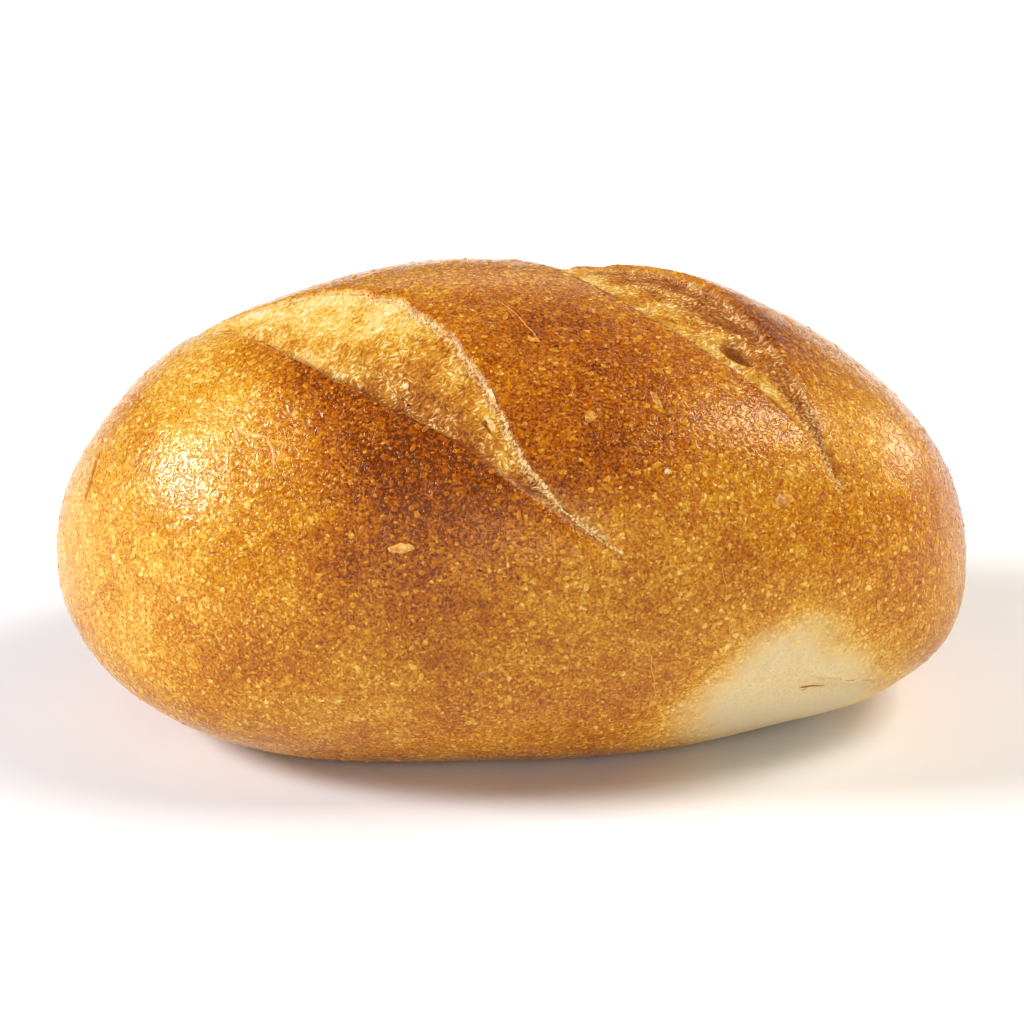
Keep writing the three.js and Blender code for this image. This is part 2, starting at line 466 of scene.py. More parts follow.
BROWNING: dict[str, Patch] = {
    "dark shoulder": Patch((-10.0, -35.0, 49.0), (17.0, 13.0, 11.0), 0.36),
    "below the shoulder": Patch((-14.0, -41.0, 33.0), (18.0, 12.0, 9.0), 0.12),
    "left shoulder": Patch((-24.0, -37.0, 43.0), (14.0, 14.0, 11.0), 0.08),
    "middle crown": Patch((7.0, -16.0, 62.0), (20.0, 16.0, 9.0), 0.29),
    "middle shoulder": Patch((16.0, -31.0, 52.0), (11.0, 13.0, 9.0), 0.26),
    "right ridge": Patch((34.0, -7.0, 60.0), (9.0, 12.0, 8.0), 0.34),
    "left end": Patch((-64.0, -10.0, 26.0), (14.0, 34.0, 26.0), -0.13),
    # paler crust where the left lamp's highlight falls: partly the end's paler baking, partly painted
    # highlight
    "painted highlight on the left end's round": Patch((-47.0, -30.0, 42.0), (15.0, 13.0, 14.0), -0.14),
    "low left": Patch((-52.0, -30.0, 16.0), (22.0, 18.0, 15.0), -0.09),
    "front left": Patch((-36.0, -38.0, 23.0), (12.0, 12.0, 8.0), 0.12),
    "low front": Patch((-20.0, -40.0, 10.0), (40.0, 16.0, 10.0), -0.01),
    "top of the left end": Patch((-42.0, -12.0, 55.0), (14.0, 16.0, 9.0), -0.30),
    "foot of the front": Patch((10.0, -38.0, 12.0), (40.0, 16.0, 9.0), 0.08),
    "above the pale side": Patch((36.0, -36.0, 30.0), (20.0, 12.0, 7.0), 0.07),
    "right end": Patch((62.0, -10.0, 34.0), (12.0, 20.0, 20.0), 0.06),
    "right lobe": Patch((50.0, -20.0, 48.0), (14.0, 14.0, 10.0), -0.10),
}


@dataclass(frozen=True)
class Swell:
    """A slow wave over the whole crust: which way it runs, its length and height, and where it begins."""

    direction: tuple[float, float, float]
    length: float
    height: float
    phase: float

    def rise(self, points: Array) -> Array:
        """The wave's rise at points, in millimetres."""
        turn = 2 * np.pi * (points @ np.array(self.direction)) / self.length + self.phase
        return self.height * np.sin(turn)


class Mask(Enum):
    """What the loaf's mesh says about each of its vertices, as named attributes."""

    CRUMB = "bare_crumb"
    TORN = "torn_fibre"
    BROWNED = "browned"
    PALE = "pale_side"
    # where the burst bubble's hollow lies; the crust's material paints it darker there, as painted shade
    HOLLOW = "hollow_painted_dark"
    CRUST = "whole_crust"


# ---------------------------------------------------------------- the loaf


@dataclass
class Loaf:
    """The roll itself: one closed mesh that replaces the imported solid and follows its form."""

    dough: Dough = field(default_factory=Dough)
    cuts: tuple[Cut, ...] = (LEFT_CUT, RIGHT_CUT)
    base_edge: float = 1.5
    top_fade: float = 6.0
    swells: tuple[Swell, ...] = (
        Swell((0.9, 0.4, 0.2), 52.0, 0.2, 1.2),
        Swell((-0.3, 0.8, 0.5), 37.0, 0.3, 2.3),
        Swell((0.5, -0.2, 0.8), 27.0, 0.22, 4.0),
    )

    press_side: tuple[float, float, float] = (0.197, -0.852, -0.485)
    press_distance: float = 30.8
    press_softness: float = 16.5

    pale: Patch = Patch((35.0, 0.0, 13.0), (18.0, math.inf, 9.0), 1.4)
    foot: Patch = Patch((52.0, 0.0, 3.0), (10.0, math.inf, 5.0), 1.1)
    front_fade: float = 12.0
    crease_height: float = 12.0
    crease_half: float = 0.8
    crease_depth: float = 0.9

    pale_shift: float = 3.5
    pale_height: float = 11.5
    pale_half_height: float = 16.0
    pale_foot_reach: float = 18.0
    pale_top_reach: float = 12.0
    pale_narrows: tuple[float, float] = (6.0, 24.0)
    pale_ragged: tuple[Layer, ...] = (Layer(0.12, 6.0, 5.2), Layer(0.07, 1.6, 1.2))
    skin_fade: tuple[float, float] = (0.5, 1.1)
    lightening_fade: tuple[float, float] = (0.55, 1.6)
    fold_fade: tuple[float, float] = (0.6, 1.3)
    pale_lightening: float = 0.5

    fold_line: tuple[tuple[float, ...], tuple[float, ...]] = (
        (20.0, 31.0, 38.0, 45.0, 53.0),
        (16.2, 16.4, 16.6, 14.0, 10.6),
    )
    fold_stray: Layer = Layer(0.5, 5.0, 9.4)
    fold_rise: float = 0.8
    fold_depth: float = 1.3
    fold_reach: float = 1.0
    ridge_above: float = 1.8
    ridge_reach: float = 1.5

    bubble_across: float = 13.2
    bubble_along: float = -31.4
    bubble_half_width: float = 2.2
    bubble_half_length: float = 3.2
    bubble_depth: float = 2.4
    bubble_wall: tuple[float, float] = (0.55, 1.1)

    crumb_lumps: Layer = Layer(0.30, (3.2, 5.0, 6.0), 1.3)
    crumb_fibres: Layer = Layer(0.22, (0.9, 2.6, 2.0), 4.2)
    crumb_pores: Layer = Layer(0.55, (0.9, 1.3, 1.2), 8.6)
    pore_edge: tuple[float, float] = (0.35, 0.6)
    crust_lumps: tuple[Layer, ...] = (Layer(0.10, 7.0, 2.4), Layer(0.05, 2.4, 6.1))
    crust_above: tuple[float, float] = (0.5, 6.0)

    browned_everywhere: float = 0.51
    browned_clouds: tuple[Layer, ...] = (Layer(0.14, 16.0, 3.3), Layer(0.10, 6.0, 7.1))

    slices: int = 206
    around: int = 476
    fine_at_cuts: float = 0.8
    fine_at_lips: float = 1.4
    fine_on_top: float = 0.42
    bow_reach: float = 20.0
    narrowest_bow: float = 0.25
    trial_slices: int = 4001
    trial_turns: int = 1440

    shift: Array = field(default_factory=lambda: np.zeros(3))

    def bubble(self, across: Array, along: Array) -> Array:
        """How deep in the burst bubble places are, from 0 outside it to 1 in its middle.

        Args:
            across: Places square to the cuts.
            along: Places along them.

        Returns:
            The shares of its depth.
        """
        away = np.hypot(
            (across - self.bubble_across) / self.bubble_half_width,
            (along - self.bubble_along) / self.bubble_half_length,
        )
        return 1.0 - smooth(away, *self.bubble_wall)

    def bake(self, points: Array) -> tuple[Array, dict[Mask, Array]]:
        """Moves points of the uncut dough to the baked roll's surface.

        Args:
            points: Surface points of the dough, one to a row.

        Returns:
            The moved points, in millimetres, and every mask's value at each.
        """
        across = points @ ACROSS
        along = points @ ALONG
        waist = self.dough.waist_height
        on_top = smooth(points[:, 2], waist, waist + self.top_fade)
        rise, lean, crumb, torn, crumb_browned, lip = np.zeros((6, len(points)))
        for swell in self.swells:
            rise += swell.rise(points)
        for cut in self.cuts:
            relief = cut.relief(across, along)
            rise += on_top * relief.rise
            lean += on_top * relief.lean
            crumb = np.maximum(crumb, on_top * relief.crumb)
            torn = np.maximum(torn, on_top * relief.torn)
            crumb_browned = np.where(relief.crumb > 0, relief.browned, crumb_browned)
            lip = np.maximum(lip, on_top * relief.lip)

        hollow_painted_dark = on_top * self.bubble(across, along)
        on_front = smooth(-points[:, 1], 0.0, self.front_fade)
        crease = self.crease_depth * bell(points[:, 2] - self.crease_height, self.crease_half)
        dent = self.pale.share(points) * (1.0 + crease / self.pale.strength)
        rise += on_front * (self.foot.share(points) - dent) - self.bubble_depth * hollow_painted_dark
        rise += crumb * (1.0 - hollow_painted_dark) * self.crumb_texture(points, across, along)
        rise += (1.0 - crumb) * layered(self.crust_lumps, points)

        baked = points + self.dough.normals(points) * rise[:, None] + ACROSS * lean[:, None]
        side = np.array(self.press_side)
        side /= np.linalg.norm(side)
        over = soft_ramp(baked @ side - self.press_distance, self.press_softness)
        baked = baked - side * over[:, None]
        baked = baked + side * (on_front * self.fold(baked))[:, None]
        above_floor = baked[:, 2].copy()
        baked[:, 2] = soft_ramp(above_floor, self.base_edge)

        pale = self.pale_share(baked, self.skin_fade)
        masks = {
            Mask.CRUMB: crumb,
            Mask.TORN: torn,
            Mask.HOLLOW: hollow_painted_dark,
            Mask.PALE: pale,
            Mask.BROWNED: self.browned(baked, crumb, crumb_browned, lip),
            Mask.CRUST: (1.0 - crumb) * (1.0 - pale) * smooth(baked[:, 2], *self.crust_above),
        }
        return baked, masks

    def fold(self, baked: Array) -> Array:
        """The fold across the pale side: a low ridge over a crease.

        Args:
            baked: The baked surface's points.

        Returns:
            The rise at each, in millimetres.
        """
        above = baked[:, 2] - np.interp(baked[:, 0], *self.fold_line) + self.fold_stray.at(baked)
        ridge_line = above - self.ridge_above * self.fold_reach
        ridge = self.fold_rise * bell(ridge_line, self.ridge_reach * self.fold_reach)
        crease = self.fold_depth * bell(above, self.fold_reach)
        return self.pale_share(baked, self.fold_fade) * (ridge - crease)

    def crumb_texture(self, points: Array, across: Array, along: Array) -> Array:
        """The torn crumb's lumps, stretched fibres and open pores.

        Args:
            points: Surface points of the dough.
            across: Their places square to the cuts.
            along: Their places along the cuts.

        Returns:
            The rise at each, in millimetres.
        """
        flat = np.stack([across, along, points[:, 2]], axis=-1)
        fibres = self.crumb_fibres.strength * (0.5 - np.abs(self.crumb_fibres.noise(flat)))
        pores = self.crumb_pores.strength * smooth(self.crumb_pores.noise(flat), *self.pore_edge)
        return self.crumb_lumps.at(flat) + fibres - pores

    def pale_share(self, baked: Array, fade: tuple[float, float]) -> Array:
        """How much of the pressed, pale side there is.

        Args:
            baked: The baked surface's points.
            fade: Where it begins to fade and where it has gone, as shares of its reach.

        Returns:
            The share at each.
        """
        reach = blend(self.pale_foot_reach, self.pale_top_reach, smooth(baked[:, 2], *self.pale_narrows))
        sideways = (baked[:, 0] - self.pale.centre[0] - self.pale_shift) / reach
        away = np.hypot(sideways, (baked[:, 2] - self.pale_height) / self.pale_half_height)
        inside = 1.0 - smooth(away + layered(self.pale_ragged, baked), *fade)
        return np.where(baked[:, 1] < 0, inside, 0.0)

    def browned(self, baked: Array, crumb: Array, crumb_browned: Array, lip: Array) -> Array:
        """How browned the crust and the crumb are, from 0, straw, to 1, deep brown.

        Args:
            baked: The baked surface's points.
            crumb: The share of bare crumb at each.
            crumb_browned: How browned the crumb there is.
            lip: How much darker a cut's lip makes the crust.

        Returns:
            The browning at each point.
        """
        crust = self.browned_everywhere + lip
        for patch in BROWNING.values():
            crust += patch.share(baked)
        crust += layered(self.browned_clouds, baked)
        crust -= self.pale_lightening * self.pale_share(baked, self.lightening_fade)
        return np.clip(blend(crust, crumb_browned, crumb), 0.0, 1.0)

    def bow(self, across: Array, along: Array) -> Array:
        """How far the mesh's slices move across, so that those by a cut follow its lips.

        Args:
            across: Where each slice is.
            along: Places along it.

        Returns:
            The moves, in millimetres.
        """
        move = np.zeros_like(along)
        for cut in self.cuts:
            line = across - cut.across
            drawn = np.maximum(cut.open_half(along) / cut.half_width, self.narrowest_bow) - 1.0
            beyond = np.maximum(np.abs(line) - cut.half_width, 0.0)
            inside = np.clip(line, -cut.half_width, cut.half_width)
            fade = np.clip(1.0 - beyond / self.bow_reach, 0.0, 1.0)
            move += (cut.drift(along) + inside * drawn) * fade
        return move

    def slice_shares(self, left: Array, right: Array) -> Array:
        """Where the slices stand between the two ends: round at the ends and close at the cuts.

        Args:
            left: The left end.
            right: The right end.

        Returns:
            A share from 0 to 1 for each slice between the ends.
        """
        steps = np.linspace(0.0, 1.0, self.trial_slices)
        share = (1.0 - np.cos(np.pi * steps)) / 2.0
        across = blend(left @ ACROSS, right @ ACROSS, share)
        density = np.ones_like(across)
        for cut in self.cuts:
            line = np.abs(across - cut.across)
            density += self.fine_at_cuts * bell(line, cut.half_width + cut.wall_half)
            density += self.fine_at_lips * bell(line - cut.half_width, 2.0 * cut.wall_half)
        running = np.concatenate([[0.0], np.cumsum((density[1:] + density[:-1]) / 2.0)])
        wanted = running[-1] * np.arange(1, self.slices) / self.slices
        return np.interp(wanted, running, share)

    def dough_grid(self) -> Array:
        """The points of the uncut dough: the left end, every slice's ring, and the right end.

        Returns:
            Points, one to a row, in that order.
        """
        dough = self.dough
        middle = np.array([dough.fattest_x, 0.0, dough.waist_height])
        turns = np.linspace(0.0, 2 * np.pi, self.trial_turns, endpoint=False)
        rays = np.stack([np.cos(turns), np.sin(turns), np.zeros_like(turns)], axis=-1)
        waist = dough.surface(np.broadcast_to(middle, rays.shape), rays)
        left = waist[(waist @ ACROSS).argmin()]
        right = waist[(waist @ ACROSS).argmax()]

        share = self.slice_shares(left, right)
        turn = 2 * np.pi * np.arange(self.around) / self.around
        angle = turn - self.fine_on_top * np.cos(turn)
        outwards = -np.cos(angle)[:, None] * ALONG - np.sin(angle)[:, None] * UP
        shape = (len(share), self.around, 3)
        inside = np.broadcast_to((left + (right - left) * share[:, None])[:, None, :], shape)
        outwards = np.broadcast_to(outwards[None], shape)
        straight = dough.surface(inside, outwards)
        on_top = smooth(straight[..., 2], dough.waist_height, dough.waist_height + self.top_fade)
        move = on_top * self.bow(inside @ ACROSS, straight @ ALONG)
        bowed = dough.surface(inside + ACROSS * move[..., None], outwards)
        return np.concatenate([left[None], bowed.reshape(-1, 3), right[None]])

    def faces(self) -> list[tuple[int, ...]]:
        """The closed grid's faces, each slice joined to the next and the ends to their poles.

        Returns:
            The faces, facing outwards, each as its corners' numbers.
        """
        rings = self.slices - 1
        last = 1 + rings * self.around
        step = np.arange(self.around)
        after = (step + 1) % self.around
        found = [(0, int(1 + b), int(1 + a)) for a, b in zip(step, after)]
        for ring in range(rings - 1):
            low = 1 + ring * self.around
            high = low + self.around
            quads = zip(low + step, low + after, high + after, high + step)
            found += [tuple(int(corner) for corner in quad) for quad in quads]
        low = 1 + (rings - 1) * self.around
        found += [(int(low + a), int(low + b), last) for a, b in zip(step, after)]
        return found

    def build(self) -> bpy.types.Object:
        """Makes the loaf's mesh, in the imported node's place.

        Returns:
            The loaf's object, with a named attribute for each mask.
        """
        baked, masks = self.bake(self.dough_grid())
        low, high = (np.array(corner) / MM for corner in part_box("roll"))
        middle = (baked.min(axis=0) + baked.max(axis=0)) / 2.0
        self.shift = np.array([(low[0] + high[0]) / 2 - middle[0], (low[1] + high[1]) / 2 - middle[1], 0.0])
        mesh = bpy.data.meshes.new("loaf")
        mesh.from_pydata(((baked + self.shift) * MM).tolist(), [], self.faces())
        mesh.update()
        for mask, values in masks.items():
            layer = mesh.attributes.new(mask.value, "FLOAT", "POINT")
            layer.data.foreach_set("value", values.astype(np.float32))
        mesh.polygons.foreach_set("use_smooth", np.ones(len(mesh.polygons), dtype=bool))
        return add_object("loaf", mesh)

    def top_points(self, across: Array, along: Array) -> Array:
        """Points of the baked top, in metres in the part's frame.

        Args:
            across: Places square to the cuts.
            along: Places along them.

        Returns:
            The points, one to a row.
        """
        inside = across[:, None] * ACROSS + along[:, None] * ALONG + UP * self.dough.waist_height
        points = self.dough.surface(inside, np.broadcast_to(UP, inside.shape))
        return (self.bake(points)[0] + self.shift) * MM


def add_object(name: str, data: bpy.types.ID) -> bpy.types.Object:
    """Adds an object for some data to the scene.

    Args:
        name: The object's name.
        data: Its mesh, light or camera.

    Returns:
        The object.
    """
    made = bpy.data.objects.new(name, data)
    bpy.context.scene.collection.objects.link(made)
    return made


# ---------------------------------------------------------------- node trees


class Value:
    """A socket's value in a node tree: ordinary arithmetic on it adds Math nodes."""

    def __init__(self, graph: "Graph", socket: bpy.types.NodeSocket) -> None:
        """Keeps the socket and the graph it belongs to."""
        self.graph = graph
        self.socket = socket

    def __add__(self, other: Any) -> "Value":
        """This plus other."""
        return self.graph.maths("ADD", self, other)

    def __radd__(self, other: Any) -> "Value":
        """Other plus this."""
        return self.graph.maths("ADD", other, self)

    def __sub__(self, other: Any) -> "Value":
        """This less other."""
        return self.graph.maths("SUBTRACT", self, other)

    def __rsub__(self, other: Any) -> "Value":
        """Other less this."""
        return self.graph.maths("SUBTRACT", other, self)

    def __mul__(self, other: Any) -> "Value":
        """This times other."""
        return self.graph.maths("MULTIPLY", self, other)

    def __rmul__(self, other: Any) -> "Value":
        """Other times this."""
        return self.graph.maths("MULTIPLY", other, self)

    def __truediv__(self, other: Any) -> "Value":
        """This over other."""
        return self.graph.maths("DIVIDE", self, other)

    def __rtruediv__(self, other: Any) -> "Value":
        """Other over this."""
        return self.graph.maths("DIVIDE", other, self)

    def __pow__(self, other: Any) -> "Value":
        """This to the power of other."""
        return self.graph.maths("POWER", self, other)

    def __abs__(self) -> "Value":
        """This without its sign."""
        return self.graph.maths("ABSOLUTE", self)

    @property
    def centred(self) -> "Value":
        """This noise from 0 to 1, made to run from -0.5 to 0.5."""
        return self - 0.5

    def between(self, low: Any, high: Any) -> "Value":
        """A smooth rise from 0 where this is low to 1 where it is high.

        Args:
            low: The value that gives 0.
            high: The value that gives 1; under low, the rise becomes a fall.

        Returns:
            The risen share.
        """
        inputs = {"Value": self, "From Min": low, "From Max": high, "To Min": 0.0, "To Max": 1.0}
        return self.graph.add("ShaderNodeMapRange", {"interpolation_type": "SMOOTHSTEP"}, inputs)

    def output(self, name: str) -> "Value":
        """Another output of the same node."""
        return Value(self.graph, find_socket(self.socket.node.outputs, name))


def find_socket(sockets: Any, key: str | int) -> bpy.types.NodeSocket:
    """The socket of a node that a name, identifier or number means.

    Args:
        sockets: The node's inputs or outputs.
        key: The identifier, the name of one in use, or the number.

    Returns:
        The socket.
    """
    if isinstance(key, int):
        return sockets[key]
    exact = [s for s in sockets if s.identifier == key and s.enabled]
    return (exact or [s for s in sockets if s.name == key and s.enabled])[0]


class Graph:
    """Adds nodes to one node tree and joins them up."""

    def __init__(self, tree: bpy.types.NodeTree) -> None:
        """Keeps the tree."""
        self.tree = tree

    def add(
        self,
        kind: str,
        settings: dict[str, Any] | None = None,
        inputs: dict[str | int, Any] | None = None,
        output: str | int = 0,
    ) -> Value:
        """Adds a node.

        Args:
            kind: The node's type.
            settings: Its own settings, set before its sockets; stops are a colour ramp's stops.
            inputs: Values or links for its sockets.
            output: Which output to give back.

        Returns:
            The value of that output.
        """
        node = self.tree.nodes.new(kind)
        for name, value in (settings or {}).items():
            if name == "stops":
                self.set_stops(node.color_ramp, value)
            else:
                setattr(node, name, value)
        for key, value in (inputs or {}).items():
            socket = find_socket(node.inputs, key)
            if isinstance(value, Value):
                self.tree.links.new(value.socket, socket)
            else:
                socket.default_value = value
        found = find_socket(node.outputs, output) if len(node.outputs) else None
        return Value(self, found)

    @staticmethod
    def set_stops(ramp: bpy.types.ColorRamp, stops: tuple[tuple[float, Colour], ...]) -> None:
        """Gives a colour ramp its stops.

        Args:
            ramp: The ramp.
            stops: The place and colour of each, in order.
        """
        while len(ramp.elements) < len(stops):
            ramp.elements.new(1.0)
        for element, (place, colour) in zip(ramp.elements, stops):
            element.position = place
            element.color = colour

    def maths(self, operation: str, *values: Any) -> Value:
        """A Math node's result for values or numbers."""
        return self.add("ShaderNodeMath", {"operation": operation}, dict(enumerate(values)))


class Surface(Graph):
    """A material's node tree, with the patterns that baked dough is made of."""

    def __init__(self, name: str) -> None:
        """Makes an empty material.

        Args:
            name: The material's name.
        """
        self.material = bpy.data.materials.new(name)
        self.material.use_nodes = True
        self.material.node_tree.nodes.clear()
        super().__init__(self.material.node_tree)
        self.place = self.add("ShaderNodeTexCoord", output="Object")

    def attribute(self, name: str) -> Value:
        """A named attribute of the mesh."""
        return self.add("ShaderNodeAttribute", {"attribute_name": name}, output="Fac")

    def turned(self, place: Value, turn: float, stretch: tuple[float, float, float]) -> Value:
        """A place turned about the upright axis and then squeezed along each axis."""
        turned = self.add("ShaderNodeMapping", {}, {"Vector": place, "Rotation": (0.0, 0.0, turn)})
        return self.add("ShaderNodeVectorMath", {"operation": "MULTIPLY"}, {0: turned, 1: stretch})

    def stirred(self, size: float, amount: float) -> Value:
        """The surface's place, moved about by cloudy noise.

        Args:
            size: How wide the noise's clouds are, in millimetres.
            amount: How far they move it, in millimetres.

        Returns:
            The moved place.
        """
        inputs = {"Vector": self.place, "Scale": 1.0 / (size * MM), "Detail": 1.0}
        cloud = self.add("ShaderNodeTexNoise", {}, inputs, "Color")
        moved = {0: cloud, 1: (amount * MM,) * 3, 2: self.place}
        return self.add("ShaderNodeVectorMath", {"operation": "MULTIPLY_ADD"}, moved)

    def grain(
        self,
        size: float,
        detail: float = 2.0,
        rough: float = 0.5,
        twist: float = 0.0,
        place: Value | None = None,
    ) -> Value:
        """Cloudy noise from 0 to 1.

        Args:
            size: How wide its clouds are, in millimetres.
            detail: How many times finer clouds are laid over.
            rough: How strong the finer ones are.
            twist: How much the clouds are drawn out and curled.
            place: Where it is read, if not plainly on the surface.

        Returns:
            The noise.
        """
        inputs = {"Vector": place or self.place, "Scale": 1.0 / (size * MM)}
        inputs |= {"Detail": detail, "Roughness": rough, "Distortion": twist}
        return self.add("ShaderNodeTexNoise", {}, inputs, "Fac")

    def specks(self, size: float, smallest: float, largest: float, place: Value) -> tuple[Value, Value]:
        """Scattered round specks, one or none in each cell.

        Args:
            size: How far apart they are, in millimetres.
            smallest: The smallest one's radius, as a share of that; under 0, some cells have none.
            largest: The largest one's radius.
            place: Where they are read.

        Returns:
            How high each place stands in its speck, from 0 to 1, and a random number for each speck.
        """
        inputs = {"Vector": place, "Scale": 1.0 / (size * MM), "Randomness": 1.0}
        distance = self.add("ShaderNodeTexVoronoi", {}, inputs, "Distance")
        split = self.add("ShaderNodeSeparateColor", {}, {"Color": distance.output("Color")}, "Red")
        radius = smallest + (largest - smallest) * split
        return (radius - distance).between(0.0, SPECK_EDGE), split.output("Green")

    def mixed(self, share: Any, first: Any, second: Any) -> Value:
        """Two colours mixed by a share.

        Args:
            share: How much of the second there is.
            first: The first colour.
            second: The second colour.

        Returns:
            The mixed colour.
        """
        inputs = {"Factor_Float": share, "A_Color": first, "B_Color": second}
        return self.add("ShaderNodeMix", {"data_type": "RGBA"}, inputs, "Result_Color")

    def ramp(self, value: Value, stops: tuple[tuple[float, Colour], ...]) -> Value:
        """The colour that a value has on a scale of stops."""
        return self.add("ShaderNodeValToRGB", {"stops": stops}, {"Fac": value}, "Color")

    def bumped(self, height: Value, depth: float) -> Value:
        """The surface's direction over a fine relief.

        Args:
            height: The relief, about 0 to 1.
            depth: How many millimetres 1 stands above 0.

        Returns:
            The direction.
        """
        return self.add("ShaderNodeBump", {}, {"Strength": 1.0, "Distance": depth * MM, "Height": height})

    def finished(self, **sockets: Any) -> bpy.types.Material:
        """Ends the tree in a shader.

        Args:
            **sockets: Values or links for the shader, with _ for each space in their names.

        Returns:
            The material.
        """
        inputs = {name.replace("_", " "): value for name, value in sockets.items()}
        shader = self.add("ShaderNodeBsdfPrincipled", {}, inputs)
        self.add("ShaderNodeOutputMaterial", {}, {"Surface": shader})
        return self.material


class Recipe(Graph):
    """A Geometry Nodes tree with named inputs, which makes one piece."""

    def __init__(self, name: str) -> None:
        """Makes a tree that takes and gives geometry.

        Args:
            name: The tree's name.
        """
        super().__init__(bpy.data.node_groups.new(name, "GeometryNodeTree"))
        self.entry = self.tree.nodes.new("NodeGroupInput")
        self.settings: dict[str, Any] = {}
        self.bed = self.asked("Geometry", "NodeSocketGeometry")
        self.tree.interface.new_socket("Geometry", in_out="OUTPUT", socket_type="NodeSocketGeometry")

    def asked(self, name: str, kind: str, value: Any = None) -> Value:
        """Adds a named input.

        Args:
            name: The input's name.
            kind: Its socket type.
            value: What the piece gives it.

        Returns:
            The input's value in the tree.
        """
        socket = self.tree.interface.new_socket(name, in_out="INPUT", socket_type=kind)
        if value is not None:
            self.settings[socket.identifier] = value
        return Value(self, find_socket(self.entry.outputs, socket.identifier))

    def size(self, name: str, millimetres: float) -> Value:
        """Adds an input for a size, given in millimetres and read in metres."""
        return self.asked(name, "NodeSocketFloat", millimetres * MM)

    def number(self, name: str, value: float) -> Value:
        """Adds an input for a plain number."""
        return self.asked(name, "NodeSocketFloat", float(value))

    def count(self, name: str, value: int) -> Value:
        """Adds an input for a whole number."""
        return self.asked(name, "NodeSocketInt", int(value))

    def random(self, low: Any, high: Any, seed: Value, step: int) -> Value:
        """A random number for each point.

        Args:
            low: The lowest.
            high: The highest.
            seed: The piece's seed.
            step: Tells this draw from the piece's others.

        Returns:
            The numbers.
        """
        inputs = {"Min_001": low, "Max_001": high, "Seed": self.maths("ADD", seed, float(step))}
        return self.add("FunctionNodeRandomValue", {"data_type": "FLOAT"}, inputs, "Value_001")

    def vector(self, x: Any, y: Any, z: Any) -> Value:
        """A vector of three values."""
        return self.add("ShaderNodeCombineXYZ", {}, {"X": x, "Y": y, "Z": z})

    def named(self, name: str, kind: str = "FLOAT") -> Value:
        """A named attribute of the bed, of one kind."""
        return self.add("GeometryNodeInputNamedAttribute", {"data_type": kind}, {"Name": name}, "Attribute")

    def stored(self, geometry: Value, name: str, value: Any, domain: str) -> Value:
        """The geometry with a named attribute kept on it.

        Args:
            geometry: The geometry.
            name: The attribute's name.
            value: Its values.
            domain: What has a value each.

        Returns:
            The geometry.
        """
        settings = {"data_type": "FLOAT", "domain": domain}
        inputs = {"Geometry": geometry, "Name": name, "Value": value}
        return self.add("GeometryNodeStoreNamedAttribute", settings, inputs)

    def closed(self, geometry: Value, material: bpy.types.Material) -> None:
        """Ends the tree: instances made real, smoothed and given their material.

        Args:
            geometry: What the tree has made.
            material: Its material.
        """
        real = self.add("GeometryNodeRealizeInstances", {}, {"Geometry": geometry})
        smoothed = self.add("GeometryNodeSetShadeSmooth", {}, {"Geometry": real})
        dressed = self.add("GeometryNodeSetMaterial", {}, {"Geometry": smoothed, "Material": material})
        self.add("NodeGroupOutput", {}, {"Geometry": dressed})

    def run(self, host: bpy.types.Object, name: str) -> bpy.types.Object:
        """Runs the tree on a host and keeps the result as a plain mesh.

        Args:
            host: What the tree starts from; it is removed.
            name: The new piece's name.

        Returns:
            The piece.
        """
        modifier = host.modifiers.new(name, "NODES")
        modifier.node_group = self.tree
        for identifier, value in self.settings.items():
            modifier[identifier] = value
        depsgraph = bpy.context.evaluated_depsgraph_get()
        mesh = bpy.data.meshes.new_from_object(host.evaluated_get(depsgraph), depsgraph=depsgraph)
        host.modifiers.remove(modifier)
        bpy.data.objects.remove(host)
        mesh.name = name
        return add_object(name, mesh)


# ---------------------------------------------------------------- finishes


def tone(red: int, green: int, blue: int) -> Colour:
    """A shader's colour from one named by its three bytes.

    Args:
        red: The red byte.
        green: The green byte.
        blue: The blue byte.

    Returns:
        The colour in linear light, opaque.
    """
    shares = [byte / 255.0 for byte in (red, green, blue)]
    linear = [s / 12.92 if s <= 0.04045 else ((s + 0.055) / 1.055) ** 2.4 for s in shares]
    return (linear[0], linear[1], linear[2], 1.0)


GLOSS = 0.45
SHEEN: Colour = (1.0, 0.87, 0.58, 1.0)
SPECK_EDGE = 0.16
TONE_SPAN = 0.85
CRUST_TONES: tuple[tuple[float, Colour], ...] = (
    (0.00, tone(246, 208, 116)),
    (0.17, tone(234, 182, 74)),
    (0.34, tone(218, 154, 40)),
    (0.49, tone(200, 128, 18)),
    (0.63, tone(184, 104, 12)),
    (0.76, tone(164, 82, 8)),
    (0.87, tone(142, 64, 6)),
    (1.00, tone(104, 42, 5)),
)
CRUMB_TONES: tuple[tuple[float, Colour], ...] = (
    (0.00, tone(238, 210, 144)),
    (0.20, tone(230, 186, 90)),
    (0.40, tone(207, 151, 40)),
    (0.60, tone(186, 117, 18)),
    (0.80, tone(156, 85, 11)),
    (1.00, tone(118, 54, 8)),
)


